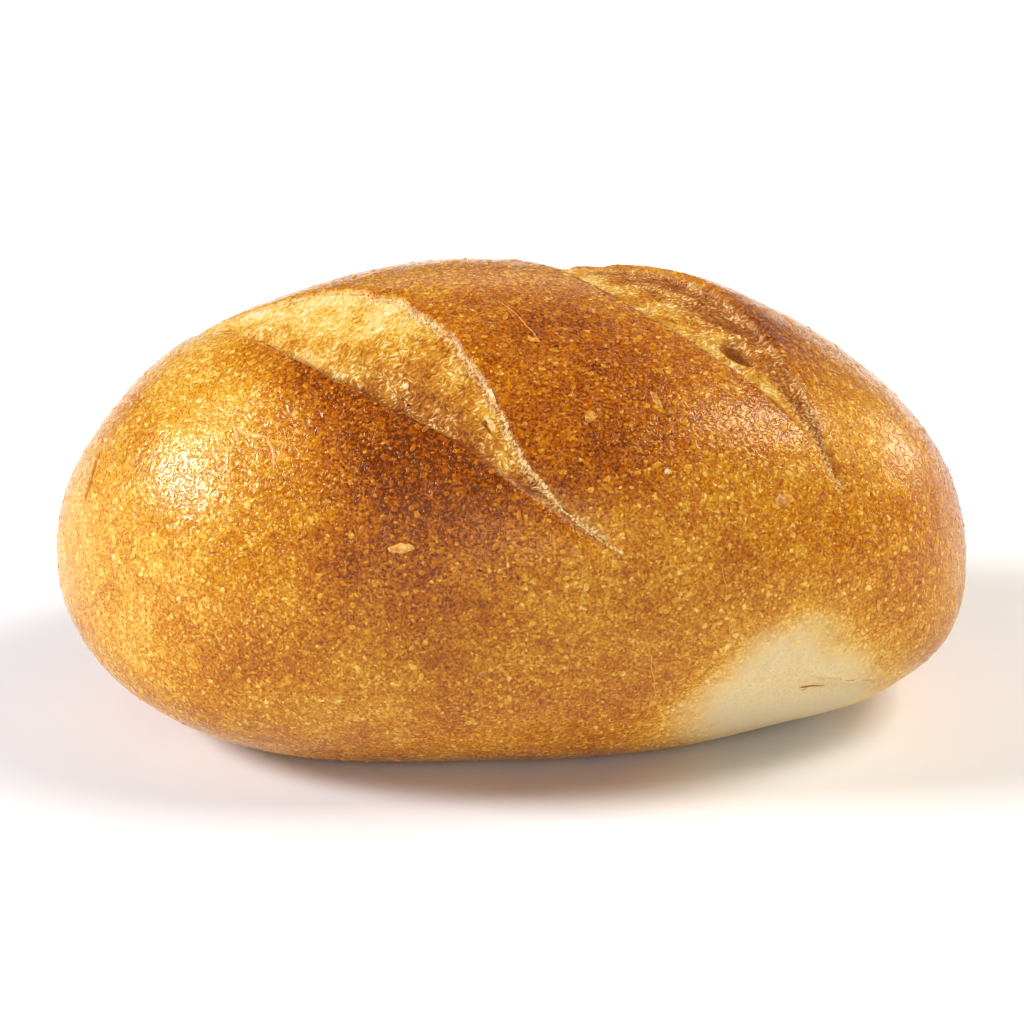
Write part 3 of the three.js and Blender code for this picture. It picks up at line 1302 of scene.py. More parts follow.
class CrustPatterns:
    """The patterns of the loaf's skin and crumb, which its colours and its relief share."""

    crease_edge: float = 0.05
    streak: tuple[float, float, float] = (1.0, 0.36, 1.0)
    strong_fibres: tuple[float, float] = (0.56, 0.66)
    pale_patches: tuple[float, float] = (0.60, 0.40)

    def __init__(self, s: Surface) -> None:
        """Adds the patterns' nodes.

        Args:
            s: The loaf's surface.
        """
        self.clouds = s.grain(size=9.0, detail=2.0, rough=0.55)
        self.mottle = s.grain(size=1.7, detail=2.0, rough=0.6, twist=0.3)
        self.pebbles = s.grain(size=0.40, detail=1.0, rough=0.5)
        self.wrinkles = s.grain(size=1.2, detail=1.0, rough=0.5, twist=1.2)
        self.creases = abs(self.wrinkles.centred).between(self.crease_edge, 0.0)
        stirred = s.stirred(size=0.9, amount=0.8)
        self.flecks, self.fleck_draw = s.specks(size=1.1, smallest=0.0, largest=0.5, place=stirred)
        self.dots, self.dot_draw = s.specks(size=0.6, smallest=-0.1, largest=0.5, place=stirred)
        streaky = s.turned(s.stirred(size=1.8, amount=2.0), CUT_ANGLE, self.streak)
        self.fibres = s.grain(size=0.36, detail=1.0, rough=0.5, place=streaky)
        self.patches = s.grain(size=4.5, detail=3.0, rough=0.6)
        strong = self.fibres.between(*self.strong_fibres)
        self.strokes = strong * self.patches.between(*self.pale_patches)


@dataclass(frozen=True)
class CrustFinish:
    """The loaf's own skin: glossy browned crust, torn golden crumb in the cuts and a floury pale side.

    A shade is how far a pattern moves the colour along its tones, a share is how much of a colour it mixes
    in, and a height is in millimetres.
    """

    name: str = "baked crust"
    pale: Colour = tone(230, 208, 160)
    flour: Colour = tone(208, 194, 162)
    scuffed: Colour = tone(212, 182, 118)
    fibre: Colour = tone(252, 234, 186)
    # painted shade: the darker brown put in the burst bubble's hollow
    hollow_painted_dark: Colour = tone(168, 98, 40)

    cloud_shade: float = 0.3
    mottle_shade: float = 0.4
    pebble_shade: float = 1.0
    # painted light and shade: these lighten the wrinkles' raised tops and darken their crease lines
    wrinkle_painted_light_and_shade: float = 0.5
    crease_painted_shade: float = 0.22
    fleck_shade: float = 0.12
    pale_fleck_shade: float = 0.4
    fleck_rarity: float = 2.0
    dot_shade: float = 0.1
    pale_dot_shade: float = 0.35
    crust_shade: float = 0.06

    crumb_span: float = 0.8
    patch_shade: float = 1.5
    fibre_shade: float = 1.5
    stroke_share: float = 0.8
    torn_share: float = 0.5
    torn_fibres: tuple[float, float] = (0.42, 0.6)
    hollow_painted_share: float = 0.9

    pale_from: float = 16.0
    flour_below: float = 8.0
    mottle_middle: float = 0.3
    mottle_share: float = 0.5
    pebble_middle: float = 0.42
    pebble_share: float = 1.6

    wrinkle_height: float = 0.145
    line_height: float = 0.045
    fleck_height: float = 0.05
    dot_height: float = 0.025
    fibre_height: float = 0.08
    floury_height: float = 0.07
    stroke_height: float = 0.05
    crust_roughness: float = 0.18
    crumb_roughness: float = 0.8

    def crust_colour(self, s: Surface, p: CrustPatterns, browned: Value) -> Value:
        """The browned crust's colour.

        Args:
            s: The loaf's surface.
            p: Its patterns.
            browned: How browned each place is.

        Returns:
            The colour.
        """
        shade = browned + p.clouds.centred * self.cloud_shade + p.mottle.centred * self.mottle_shade
        shade = shade - p.pebbles.centred * self.pebble_shade
        # painted light and shade: lighter where the bump's wrinkles stand high, darker in its crease lines
        shade = shade - p.wrinkles.centred * self.wrinkle_painted_light_and_shade + p.creases * self.crease_painted_shade
        paler_fleck = self.fleck_shade + self.pale_fleck_shade * p.fleck_draw**self.fleck_rarity
        paler_dot = self.dot_shade + self.pale_dot_shade * p.dot_draw
        shade = shade - p.flecks * paler_fleck - p.dots * paler_dot
        return s.ramp(shade * TONE_SPAN + self.crust_shade, CRUST_TONES)

    def crumb_colour(self, s: Surface, p: CrustPatterns, browned: Value) -> Value:
        """The torn crumb's colour, with its pale fibres and painted shade in the burst bubble's hollow.

        Args:
            s: The loaf's surface.
            p: Its patterns.
            browned: How browned each place is.

        Returns:
            The colour.
        """
        shade = browned + p.patches.centred * self.patch_shade - p.fibres.centred * self.fibre_shade
        colour = s.ramp(shade * self.crumb_span, CRUMB_TONES)
        colour = s.mixed(p.strokes * self.stroke_share, colour, self.fibre)
        torn = s.attribute(Mask.TORN.value) * self.torn_share
        colour = s.mixed(torn * p.fibres.between(*self.torn_fibres), colour, self.fibre)
        # painted shade: darkens the burst bubble's hollow
        return s.mixed(s.attribute(Mask.HOLLOW.value) * self.hollow_painted_share, colour, self.hollow_painted_dark)

    def floury_colour(self, s: Surface, p: CrustPatterns) -> Value:
        """The pale side's colour, floury low down and scuffed all over.

        Args:
            s: The loaf's surface.
            p: Its patterns.

        Returns:
            The colour.
        """
        up = s.add("ShaderNodeSeparateXYZ", {}, {"Vector": s.place}, "Z")
        low_down = up.between(self.pale_from * MM, self.flour_below * MM)
        scuffs = (p.mottle - self.mottle_middle) * self.mottle_share
        scuffs = scuffs + (p.pebbles - self.pebble_middle) * self.pebble_share
        return s.mixed(scuffs, s.mixed(low_down, self.pale, self.flour), self.scuffed)

    def make(self) -> bpy.types.Material:
        """Makes the material.

        Returns:
            The material, which reads the loaf's masks.
        """
        s = Surface(self.name)
        p = CrustPatterns(s)
        crumb = s.attribute(Mask.CRUMB.value)
        pale = s.attribute(Mask.PALE.value)
        browned = s.attribute(Mask.BROWNED.value)
        crust = (1.0 - crumb) * (1.0 - pale)

        colour = s.mixed(crumb, self.crust_colour(s, p, browned), self.crumb_colour(s, p, browned))
        colour = s.mixed(pale, colour, self.floury_colour(s, p))

        skin = p.wrinkles * self.wrinkle_height - p.creases * self.line_height
        skin = skin + p.flecks * self.fleck_height + p.dots * self.dot_height
        inside = p.fibres * self.fibre_height + p.strokes * self.stroke_height
        height = crust * skin + crumb * inside + pale * p.wrinkles * self.floury_height
        return s.finished(
            Base_Color=colour,
            Roughness=crust * self.crust_roughness + (crumb + pale) * self.crumb_roughness,
            Specular_IOR_Level=GLOSS,
            Specular_Tint=SHEEN,
            Normal=s.bumped(height, 1.0),
        )


@dataclass(frozen=True)
class BlisterFinish:
    """Small raised blisters and flecks of the crust, a little lighter or darker than what is round them."""

    name: str = "blistered crust"
    lightening: float = 0.3
    uneven_shade: float = 0.4
    uneven_height: float = 0.05
    roughness: float = 0.32

    def make(self) -> bpy.types.Material:
        """Makes the material.

        Returns:
            The material, which reads each blister's browning and tint.
        """
        s = Surface(self.name)
        uneven = s.grain(size=0.6, detail=2.0, rough=0.6)
        shade = s.attribute(Mask.BROWNED.value) - s.attribute("tint") * self.lightening
        shade = shade + uneven.centred * self.uneven_shade
        return s.finished(
            Base_Color=s.ramp(shade * TONE_SPAN, CRUST_TONES),
            Roughness=self.roughness,
            Specular_IOR_Level=GLOSS,
            Specular_Tint=SHEEN,
            Normal=s.bumped(uneven, self.uneven_height),
        )


@dataclass(frozen=True)
class FibreFinish:
    """Torn threads of crumb, cream to white."""

    name: str = "torn crumb"
    cream: Colour = tone(244, 226, 182)
    golden: Colour = tone(222, 170, 84)
    roughness: float = 0.7
    shine: float = 0.3

    def make(self) -> bpy.types.Material:
        """Makes the material.

        Returns:
            The material, which reads each thread's tint.
        """
        s = Surface(self.name)
        colour = s.mixed(s.attribute("tint"), self.golden, self.cream)
        return s.finished(Base_Color=colour, Roughness=self.roughness, Specular_IOR_Level=self.shine)


MARK_TONES: tuple[tuple[float, Colour], ...] = (
    (0.00, tone(22, 14, 8)),
    (0.15, tone(70, 34, 12)),
    (0.45, tone(196, 128, 44)),
    (0.60, tone(226, 160, 62)),
    (0.80, tone(238, 202, 142)),
    (1.00, tone(250, 236, 208)),
)


@dataclass(frozen=True)
class MarkFinish:
    """The skin of folds, hairlines, scars and specks, and of lines of painted shade, from black through
    golden brown to cream.
    """

    name: str = "marked crust"
    uneven_shade: float = 0.9
    uneven_height: float = 0.06
    roughness: float = 0.4

    def make(self) -> bpy.types.Material:
        """Makes the material.

        Returns:
            The material, which reads each mark's tint.
        """
        s = Surface(self.name)
        uneven = s.grain(size=0.5, detail=2.0, rough=0.6)
        shade = s.attribute("tint") + uneven.centred * self.uneven_shade
        return s.finished(
            Base_Color=s.ramp(shade, MARK_TONES),
            Roughness=self.roughness,
            Specular_IOR_Level=GLOSS,
            Normal=s.bumped(uneven, self.uneven_height),
        )


@dataclass(frozen=True)
class FloorFinish:
    """The plain pale table that the roll lies on."""

    name: str = "pale table"
    colour: Colour = (0.9, 0.9, 0.9, 1.0)
    roughness: float = 0.9
    shine: float = 0.1

    def make(self) -> bpy.types.Material:
        """Makes the material."""
        looks = {"Base_Color": self.colour, "Roughness": self.roughness, "Specular_IOR_Level": self.shine}
        return Surface(self.name).finished(**looks)


# ---------------------------------------------------------------- small things on the loaf


class Shape(Enum):
    """The small thing that is scattered over a bed."""

    DOME = "a low round dome"
    THREAD = "a short bent thread"


@dataclass(frozen=True)
class SmallThing:
    """A mesh that is repeated many times: a sphere one unit in radius, or a thread one unit long."""

    shape: Shape
    sides: int
    rings: int
    thread_radius: float = 0.08
    thread_bend: float = 0.12
    thread_sway: float = 0.12
    thread_swerve: float = 0.05
    thread_tip: float = 0.3
    thread_belly: float = 2.8

    def mesh(self, recipe: Recipe) -> Value:
        """Makes the mesh.

        Args:
            recipe: The tree it is made in.

        Returns:
            The mesh.
        """
        sides = recipe.count("Sides", self.sides)
        rings = recipe.count("Rings", self.rings)
        if self.shape is Shape.DOME:
            inputs = {"Segments": sides, "Rings": rings, "Radius": 1.0}
            return recipe.add("GeometryNodeMeshUVSphere", {}, inputs)
        bend = {"Resolution": rings, "Start": (-0.5, 0.0, 0.0), "End": (0.5, self.thread_swerve, 0.0)}
        bend["Middle"] = (0.0, self.thread_sway, self.thread_bend)
        line = recipe.add("GeometryNodeCurveQuadraticBezier", {}, bend)
        round_end = {"Resolution": sides, "Radius": recipe.number("Thread radius", self.thread_radius)}
        ring = recipe.add("GeometryNodeCurvePrimitiveCircle", {}, round_end)
        along = recipe.add("GeometryNodeSplineParameter", {}, {}, "Factor")
        taper = self.thread_tip + self.thread_belly * along * (1.0 - along)
        inputs = {"Curve": line, "Profile Curve": ring, "Scale": taper, "Fill Caps": True}
        return recipe.add("GeometryNodeCurveToMesh", {}, inputs)


@dataclass
class Spread:
    """How a repeated thing varies: its sizes, in millimetres, and how it is turned, in degrees."""

    smallest: float
    largest: float
    height: float
    seed: int
    rarity: float = 3.0
    lengthened: float = 1.4
    tilt: float = 6.0
    swing: float = 180.0

    def laid(
        self,
        recipe: Recipe,
        points: Value,
        rotation: Value,
        thing: SmallThing,
        share: Value | None = None,
    ) -> Value:
        """Puts one of the thing at every point.

        Args:
            recipe: The tree.
            points: The points.
            rotation: How the surface lies at each.
            thing: What is repeated.
            share: How large it is at each point, as a share of its size, if not everywhere the same.

        Returns:
            The instances, each with a tint.
        """
        seed = recipe.count("Seed", self.seed)
        smallest = recipe.size("Smallest", self.smallest)
        largest = recipe.size("Largest", self.largest)
        draw = recipe.random(0.0, 1.0, seed, 1) ** recipe.number("Rarity of large ones", self.rarity)
        radius = smallest + (largest - smallest) * draw
        if share is not None:
            radius = radius * share
        longer = recipe.random(1.0, recipe.number("Longest to widest", self.lengthened), seed, 2)
        tall = radius * recipe.number("Height to radius", self.height)
        scale = recipe.vector(radius * longer, radius, tall)
        across = {"Rotation": rotation, "Vector": tuple(ACROSS)}
        settings = {"axis": "X", "pivot_axis": "Z"}
        aligned = recipe.add("FunctionNodeAlignRotationToVector", settings, across)
        tilt = recipe.number("Tilt", math.radians(self.tilt))
        swing = recipe.number("Swing", math.radians(self.swing))
        turn = recipe.vector(
            recipe.random(-1.0, 1.0, seed, 3) * tilt,
            recipe.random(-1.0, 1.0, seed, 4) * tilt,
            recipe.random(-1.0, 1.0, seed, 5) * swing,
        )
        rotate_by = recipe.add("FunctionNodeEulerToRotation", {}, {"Euler": turn})
        inputs = {"Rotation": aligned, "Rotate By": rotate_by}
        turned = recipe.add("FunctionNodeRotateRotation", {"rotation_space": "LOCAL"}, inputs)
        inputs = {"Points": points, "Instance": thing.mesh(recipe), "Rotation": turned, "Scale": scale}
        laid = recipe.add("GeometryNodeInstanceOnPoints", {}, inputs)
        return recipe.stored(laid, "tint", recipe.random(0.0, 1.0, seed, 6), "INSTANCE")


@dataclass
class Scatter:
    """Many of one small thing, spread over the part of the loaf that a mask marks. Sizes in millimetres."""

    name: str
    thing: SmallThing
    spread: Spread
    mask: Mask
    spacing: float
    per_square_mm: float

    def build(self, loaf: bpy.types.Object, material: bpy.types.Material) -> bpy.types.Object:
        """Scatters the small things over the loaf.

        Args:
            loaf: The loaf, which stays as it is.
            material: Their material.

        Returns:
            The piece.
        """
        recipe = Recipe(self.name)
        over = {
            "Mesh": recipe.bed,
            "Distance Min": recipe.size("Least distance apart", self.spacing),
            "Density Max": recipe.number("Most in a square metre", self.per_square_mm / MM**2),
            "Density Factor": recipe.named(self.mask.value),
            "Seed": recipe.count("Where they fall", self.spread.seed),
        }
        settings = {"distribute_method": "POISSON"}
        points = recipe.add("GeometryNodeDistributePointsOnFaces", settings, over, "Points")
        laid = self.spread.laid(recipe, points, points.output("Rotation"), self.thing)
        recipe.closed(laid, material)
        return recipe.run(add_object(self.name + "_bed", loaf.data), self.name)


class Skin:
    """Finds places on the loaf's finished surface, for the things that lie on it."""

    def __init__(self, loaf: Loaf, body: bpy.types.Object) -> None:
        """Reads the loaf's mesh into a search tree.

        Args:
            loaf: The loaf's sizes.
            body: Its object.
        """
        mesh = body.data
        corners = [vertex.co for vertex in mesh.vertices]
        self.loaf = loaf
        self.tree = BVHTree.FromPolygons(corners, [face.vertices for face in mesh.polygons])

    def nearest(self, place: Any) -> tuple[Vector, Vector]:
        """The surface's point nearest a place in millimetres, and its outward direction, in metres."""
        point, normal, _, _ = self.tree.find_nearest(Vector(place) * MM)
        return point, normal

    def path(self, places: tuple[tuple[float, float, float], ...], step: float, wander: float) -> Array:
        """A curve over the surface through places, for something long that lies on it.

        Args:
            places: The places it passes through, in millimetres.
            step: How far apart its points are.
            wander: How far it strays to either side.

        Returns:
            The curve's points before they are laid on the surface, in millimetres.
        """
        corners = np.array(places)
        before = 2 * corners[:1] - corners[1:2]
        after = 2 * corners[-1:] - corners[-2:-1]
        padded = np.concatenate([before, corners, after])
        found = []
        for a, b, c, d in zip(padded, padded[1:], padded[2:], padded[3:]):
            count = max(int(np.linalg.norm(c - b) / step), 2)
            t = (np.arange(count) / count)[:, None]
            bent = 2 * b + (c - a) * t + (2 * a - 5 * b + 4 * c - d) * t**2 + (3 * b - a - 3 * c + d) * t**3
            found.append(0.5 * bent)
        line = np.concatenate(found + [corners[-1:]])
        strayed = [lumps(line, size=1.8, seed=seed) for seed in (3.7, 8.1, 5.9)]
        return line + wander * np.stack(strayed, axis=-1)


@dataclass(frozen=True)
class Strand:
    """A fold or a hairline of the skin: where it runs, its half-width and how pale it is, from 0 to 1."""

    places: tuple[tuple[float, float, float], ...]
    half_width: float
    tint: float
    wander: float = 0.3
    sunk: float = 0.0


@dataclass
class Strands:
    """The folds and hairlines of the skin: threads swept along paths over the loaf."""

    name: str
    strands: dict[str, Strand]
    step: float = 0.3
    sides: int = 8
    unevenness: float = 0.45
    taper: float = 5.0
    tip: float = 0.12

    def bed(self, skin: Skin) -> bpy.types.Object:
        """Lays the paths on the loaf.

        Args:
            skin: The loaf's surface.

        Returns:
            An object of loose edges with a half-width and a tint at every vertex.
        """
        corners: list[Vector] = []
        edges: list[tuple[int, int]] = []
        half_widths: list[float] = []
        tints: list[float] = []
        for strand in self.strands.values():
            line = skin.path(strand.places, self.step, strand.wander)
            uneven = 1.0 + self.unevenness * lumps(line, size=0.9, seed=2.2)
            share = np.linspace(0.0, 1.0, len(line))
            taper = np.minimum(1.0, self.taper * np.minimum(share, 1.0 - share) + self.tip)
            first = len(corners)
            for place, half in zip(line, strand.half_width * uneven * taper):
                point, normal = skin.nearest(place)
                corners.append(point - normal * half * strand.sunk * MM)
                half_widths.append(half * MM)
                tints.append(strand.tint)
            edges += [(n, n + 1) for n in range(first, len(corners) - 1)]
        mesh = bpy.data.meshes.new(self.name + "_bed")
        mesh.from_pydata([tuple(corner) for corner in corners], edges, [])
        for attribute, values in (("half_width", half_widths), ("tint", tints)):
            mesh.attributes.new(attribute, "FLOAT", "POINT").data.foreach_set("value", values)
        return add_object(self.name + "_bed", mesh)

    def build(self, skin: Skin, material: bpy.types.Material) -> bpy.types.Object:
        """Sweeps the strands.

        Args:
            skin: The loaf's surface.
            material: Their material.

        Returns:
            The piece.
        """
        recipe = Recipe(self.name)
        line = recipe.add("GeometryNodeMeshToCurve", {}, {"Mesh": recipe.bed})
        circle = {"Resolution": recipe.count("Sides", self.sides), "Radius": 1.0}
        ring = recipe.add("GeometryNodeCurvePrimitiveCircle", {}, circle)
        inputs = {"Curve": line, "Profile Curve": ring, "Fill Caps": True}
        inputs["Scale"] = recipe.named("half_width")
        recipe.closed(recipe.add("GeometryNodeCurveToMesh", {}, inputs), material)
        return recipe.run(self.bed(skin), self.name)


@dataclass(frozen=True)
class Mark:
    """A single blister, scar or speck: its place, its size in millimetres, its turn and how pale it is."""

    place: tuple[float, float, float]
    length: float
    width: float
    rise: float
    turn: float
    tint: float


@dataclass
class Marks:
    """The crust's larger blisters, scars and specks, each a low dome."""

    name: str
    marks: dict[str, Mark]
    sides: int = 20
    rings: int = 10
    lump_size: float = 0.9
    lump_height: float = 0.8

    def bed(self, skin: Skin) -> bpy.types.Object:
        """Puts a point on the loaf for each mark.

        Args:
            skin: The loaf's surface.

        Returns:
            An object of loose points, each with a size, a rotation and a tint.
        """
        corners, sizes, turns = [], [], []
        for mark in self.marks.values():
            point, normal = skin.nearest(mark.place)
            level = Vector((1.0, 0.0, 0.0)).cross(normal).cross(normal) * -1.0
            lengthwise = Matrix.Rotation(math.radians(mark.turn), 3, normal) @ level.normalized()
            axes = Matrix((lengthwise, normal.cross(lengthwise), normal)).transposed()
            corners.append(tuple(point))
            sizes += [mark.length / 2 * MM, mark.width / 2 * MM, mark.rise * MM]
            turns += list(axes.to_euler())
        mesh = bpy.data.meshes.new(self.name + "_bed")
        mesh.from_pydata(corners, [], [])
        mesh.attributes.new("size", "FLOAT_VECTOR", "POINT").data.foreach_set("vector", sizes)
        mesh.attributes.new("turn", "FLOAT_VECTOR", "POINT").data.foreach_set("vector", turns)
        tints = [mark.tint for mark in self.marks.values()]
        mesh.attributes.new("tint", "FLOAT", "POINT").data.foreach_set("value", tints)
        return add_object(self.name + "_bed", mesh)

    def build(self, skin: Skin, material: bpy.types.Material) -> bpy.types.Object:
        """Makes the domes.

        Args:
            skin: The loaf's surface.
            material: Their material.

        Returns:
            The piece.
        """
        recipe = Recipe(self.name)
        euler = recipe.named("turn", "FLOAT_VECTOR")
        turn = recipe.add("FunctionNodeEulerToRotation", {}, {"Euler": euler})
        dome = SmallThing(Shape.DOME, self.sides, self.rings).mesh(recipe)
        inputs = {"Points": recipe.bed, "Instance": dome, "Rotation": turn}
        inputs["Scale"] = recipe.named("size", "FLOAT_VECTOR")
        domes = recipe.add("GeometryNodeInstanceOnPoints", {}, inputs)
        real = recipe.add("GeometryNodeRealizeInstances", {}, {"Geometry": domes})
        lump = {"Scale": 1.0 / recipe.size("Lump size", self.lump_size), "Detail": 1.0}
        cloud = recipe.add("ShaderNodeTexNoise", {}, lump, "Color")
        centred = recipe.add("ShaderNodeVectorMath", {"operation": "SUBTRACT"}, {0: cloud, 1: (0.5,) * 3})
        stretch = {0: centred, "Scale": recipe.size("Lump height", self.lump_height)}
        moved = recipe.add("ShaderNodeVectorMath", {"operation": "SCALE"}, stretch)
        uneven = recipe.add("GeometryNodeSetPosition", {}, {"Geometry": real, "Offset": moved})
        recipe.closed(uneven, material)
        return recipe.run(self.bed(skin), self.name)


@dataclass
class TornRim:
    """The torn edge of a cut: small crumbs or threads strung along it, thickest where the dough tore."""

    name: str
    thing: SmallThing
    spread: Spread
    cut: Cut
    step: float
    stray: float
    inset: float
    least: float
    short_of_back: float = 9.0
    bed_step: float = 0.4
    dying_away: float = 16.0
    usual_share: float = 0.75
    unevenness: float = 0.6
    smallest_share: float = 0.05
    seed_apart: int = 50

    def bed(self, skin: Skin) -> bpy.types.Object:
        """Lays the cut's far edge on the loaf.

        Args:
            skin: The loaf's surface.

        Returns:
            An object of loose edges, each vertex with the surface's direction and a share of the full size.
        """
        cut = self.cut
        along = np.arange(cut.front - cut.crack_length, cut.back - self.short_of_back, self.bed_step)
        across = cut.across + cut.drift(along) + cut.far_edge(along) - self.inset
        line = skin.loaf.top_points(across, along) / MM
        uneven = self.usual_share + self.unevenness * lumps(line, size=3.0, seed=6.6)
        shares = blend(self.least, 1.0, cut.tearing(along, self.dying_away)) * uneven
        shares = np.maximum(shares, self.smallest_share)
        found = [skin.nearest(place) for place in line]
        edges = [(n, n + 1) for n in range(len(found) - 1)]
        mesh = bpy.data.meshes.new(self.name + "_bed")
        mesh.from_pydata([tuple(point) for point, _ in found], edges, [])
        upward = [number for _, normal in found for number in normal]
        mesh.attributes.new("upward", "FLOAT_VECTOR", "POINT").data.foreach_set("vector", upward)
        mesh.attributes.new("share", "FLOAT", "POINT").data.foreach_set("value", shares)
        return add_object(self.name + "_bed", mesh)

    def build(self, skin: Skin, material: bpy.types.Material) -> bpy.types.Object:
        """Strings the small things along the edge.

        Args:
            skin: The loaf's surface.
            material: Their material.

        Returns:
            The piece.
        """
        recipe = Recipe(self.name)
        line = recipe.add("GeometryNodeMeshToCurve", {}, {"Mesh": recipe.bed})
        inputs = {"Curve": line, "Length": recipe.size("Step", self.step)}
        points = recipe.add("GeometryNodeCurveToPoints", {"mode": "LENGTH"}, inputs, "Points")
        seed = recipe.count("Stray seed", self.spread.seed + self.seed_apart)
        stray = recipe.size("Stray", self.stray)
        share = recipe.named("share")
        sideways = recipe.random(-1.0, 1.0, seed, 1) * stray * share
        lengthways = recipe.random(-1.0, 1.0, seed, 2) * stray
        offset = recipe.vector(
            sideways * float(ACROSS[0]) + lengthways * float(ALONG[0]),
            sideways * float(ACROSS[1]) + lengthways * float(ALONG[1]),
            0.0,
        )
        moved = recipe.add("GeometryNodeSetPosition", {}, {"Geometry": points, "Offset": offset})
        upward = recipe.named("upward", "FLOAT_VECTOR")
        flat = recipe.add("FunctionNodeAlignRotationToVector", {"axis": "Z"}, {"Vector": upward})
        recipe.closed(self.spread.laid(recipe, moved, flat, self.thing, share), material)
        return recipe.run(self.bed(skin), self.name)


DOME = SmallThing(Shape.DOME, sides=8, rings=4)
FINE_DOME = SmallThing(Shape.DOME, sides=6, rings=4)
THREAD = SmallThing(Shape.THREAD, sides=4, rings=4)

PEBBLES = Scatter(
    name="pebbles",
    thing=DOME,
    spread=Spread(smallest=0.16, largest=0.42, height=0.30, seed=11, lengthened=2.0),
    mask=Mask.CRUST,
    spacing=1.1,
    per_square_mm=0.25,
)
CRUMB_THREADS = Scatter(
    name="crumb_threads",
    thing=THREAD,
    spread=Spread(smallest=0.3, largest=1.0, height=0.2, seed=23, rarity=2.0, swing=60.0),
    mask=Mask.CRUMB,
    spacing=0.8,
    per_square_mm=0.06,
)
LEFT_RIM_CRUMBS = TornRim(
    name="left_rim_crumbs",
    thing=FINE_DOME,
    spread=Spread(smallest=0.12, largest=0.28, height=0.8, seed=31, rarity=1.5),
    cut=LEFT_CUT,
    step=0.13,
    stray=0.2,
    inset=0.1,
    least=0.8,
)
LEFT_RIM_THREADS = TornRim(
    name="left_rim_threads",
    thing=THREAD,
    spread=Spread(smallest=0.4, largest=1.1, height=0.3, seed=37, rarity=1.4, swing=50.0),
    cut=LEFT_CUT,
    step=0.45,
    stray=0.6,
    inset=0.7,
    least=0.15,
)
RIGHT_RIM_CRUMBS = TornRim(
    name="right_rim_crumbs",
    thing=FINE_DOME,
    spread=Spread(smallest=0.08, largest=0.22, height=0.8, seed=41, rarity=1.5),
    cut=RIGHT_CUT,
    step=0.2,
    stray=0.25,
    inset=0.1,
    least=0.4,
)
STRANDS = Strands(
    "skin_folds_and_painted_shade_lines",
    {
        "curled fold": Strand(
            ((-37.9, -25.0, 51.4), (-36.2, -25.8, 50.6), (-33.0, -27.0, 50.2)), 0.42, 0.66, sunk=0.5
        ),
        "curled fold's end": Strand(
            ((-33.2, -27.0, 50.1), (-32.0, -28.6, 48.6), (-31.9, -30.2, 46.4)), 0.3, 0.6, sunk=0.5
        ),
        "upper end of the fold": Strand(
            ((-38.6, -24.2, 52.3), (-38.1, -25.4, 50.9), (-37.4, -26.8, 49.6)), 0.3, 0.62, sunk=0.4
        ),
        "fold of the left end": Strand(
            ((-58.6, -10.8, 42.4), (-59.6, -12.7, 39.7), (-60.6, -14.0, 36.0)), 0.5, 0.58
        ),
        "hairline over the crown": Strand(
            ((-1.9, -10.9, 64.7), (1.4, -15.2, 63.3), (4.2, -19.6, 61.0)), 0.08, 0.50
        ),
        "short hairline": Strand(
            ((27.9, -37.2, 36.4), (29.0, -37.6, 30.0), (29.7, -36.5, 22.8)), 0.07, 0.55
        ),
        "low hairline": Strand(
            ((18.3, -39.9, 26.2), (19.3, -36.2, 15.3), (14.4, -30.3, 4.8)), 0.07, 0.58
        ),
        # painted shade: a thin line in a crease tone along the pale side's crease
        "painted shade along the pale side's crease": Strand(
            (
                (24.0, -35.6, 16.3),
                (31.2, -33.5, 16.4),
                (38.4, -31.6, 16.6),
                (45.1, -27.3, 14.0),
                (52.7, -21.4, 10.6),
            ),
            0.13,
            0.80,
            wander=0.4,
            sunk=0.4,
        ),
        # a brown crack under the fold, darkened also as painted shadow beneath it
        "crack and painted shadow under the fold": Strand(
            ((40.4, -29.8, 13.7), (42.4, -28.6, 13.5), (44.6, -27.5, 13.1)), 0.12, 0.42
        ),
    },
)
MARKS = Marks(
    "blisters",
    {
        "long pale blister": Mark((-14.7, -39.7, 39.3), 3.6, 1.3, 0.35, 6.0, 0.61),
        "golden blister": Mark((10.5, -29.8, 54.3), 2.0, 1.6, 0.25, 70.0, 0.47),
        "pale oval blister": Mark((3.0, -18.9, 61.8), 1.9, 1.0, 0.2, -20.0, 0.53),
        "ringed blister": Mark((36.7, -31.1, 42.8), 2.6, 1.9, 0.25, 10.0, 0.5),
        "pale dot": Mark((20.7, -32.9, 47.4), 1.0, 0.9, 0.25, 0.0, 0.70),
        "pale scar": Mark((19.5, -26.1, 55.4), 3.2, 0.9, 0.2, -62.0, 0.49),
        # painted shade: a near-black dome where the scar's pit lies in shade
        "painted shade of the scar's pit": Mark((21.0, -27.6, 53.8), 0.7, 0.6, 0.08, 0.0, 0.05),
        "black speck": Mark((6.1, -19.5, 60.9), 0.7, 0.5, 0.15, 30.0, 0.0),
        "torn pale edge": Mark((-3.0, -27.7, 56.9), 3.4, 0.8, 0.12, -62.0, 0.74),
        "torn edge below it": Mark((-2.7, -31.3, 53.8), 3.6, 0.9, 0.12, -55.0, 0.74),
        "speck in the crumb": Mark((-13.9, -26.0, 54.5), 0.5, 0.4, 0.15, 0.0, 0.05),
        "spot under the fold": Mark((40.9, -28.7, 13.3), 0.8, 0.5, 0.1, 0.0, 0.35),
        "speck on the shoulder": Mark((-4.2, -39.9, 36.5), 0.6, 0.4, 0.12, 20.0, 0.05),
    },
)


# ---------------------------------------------------------------- studio


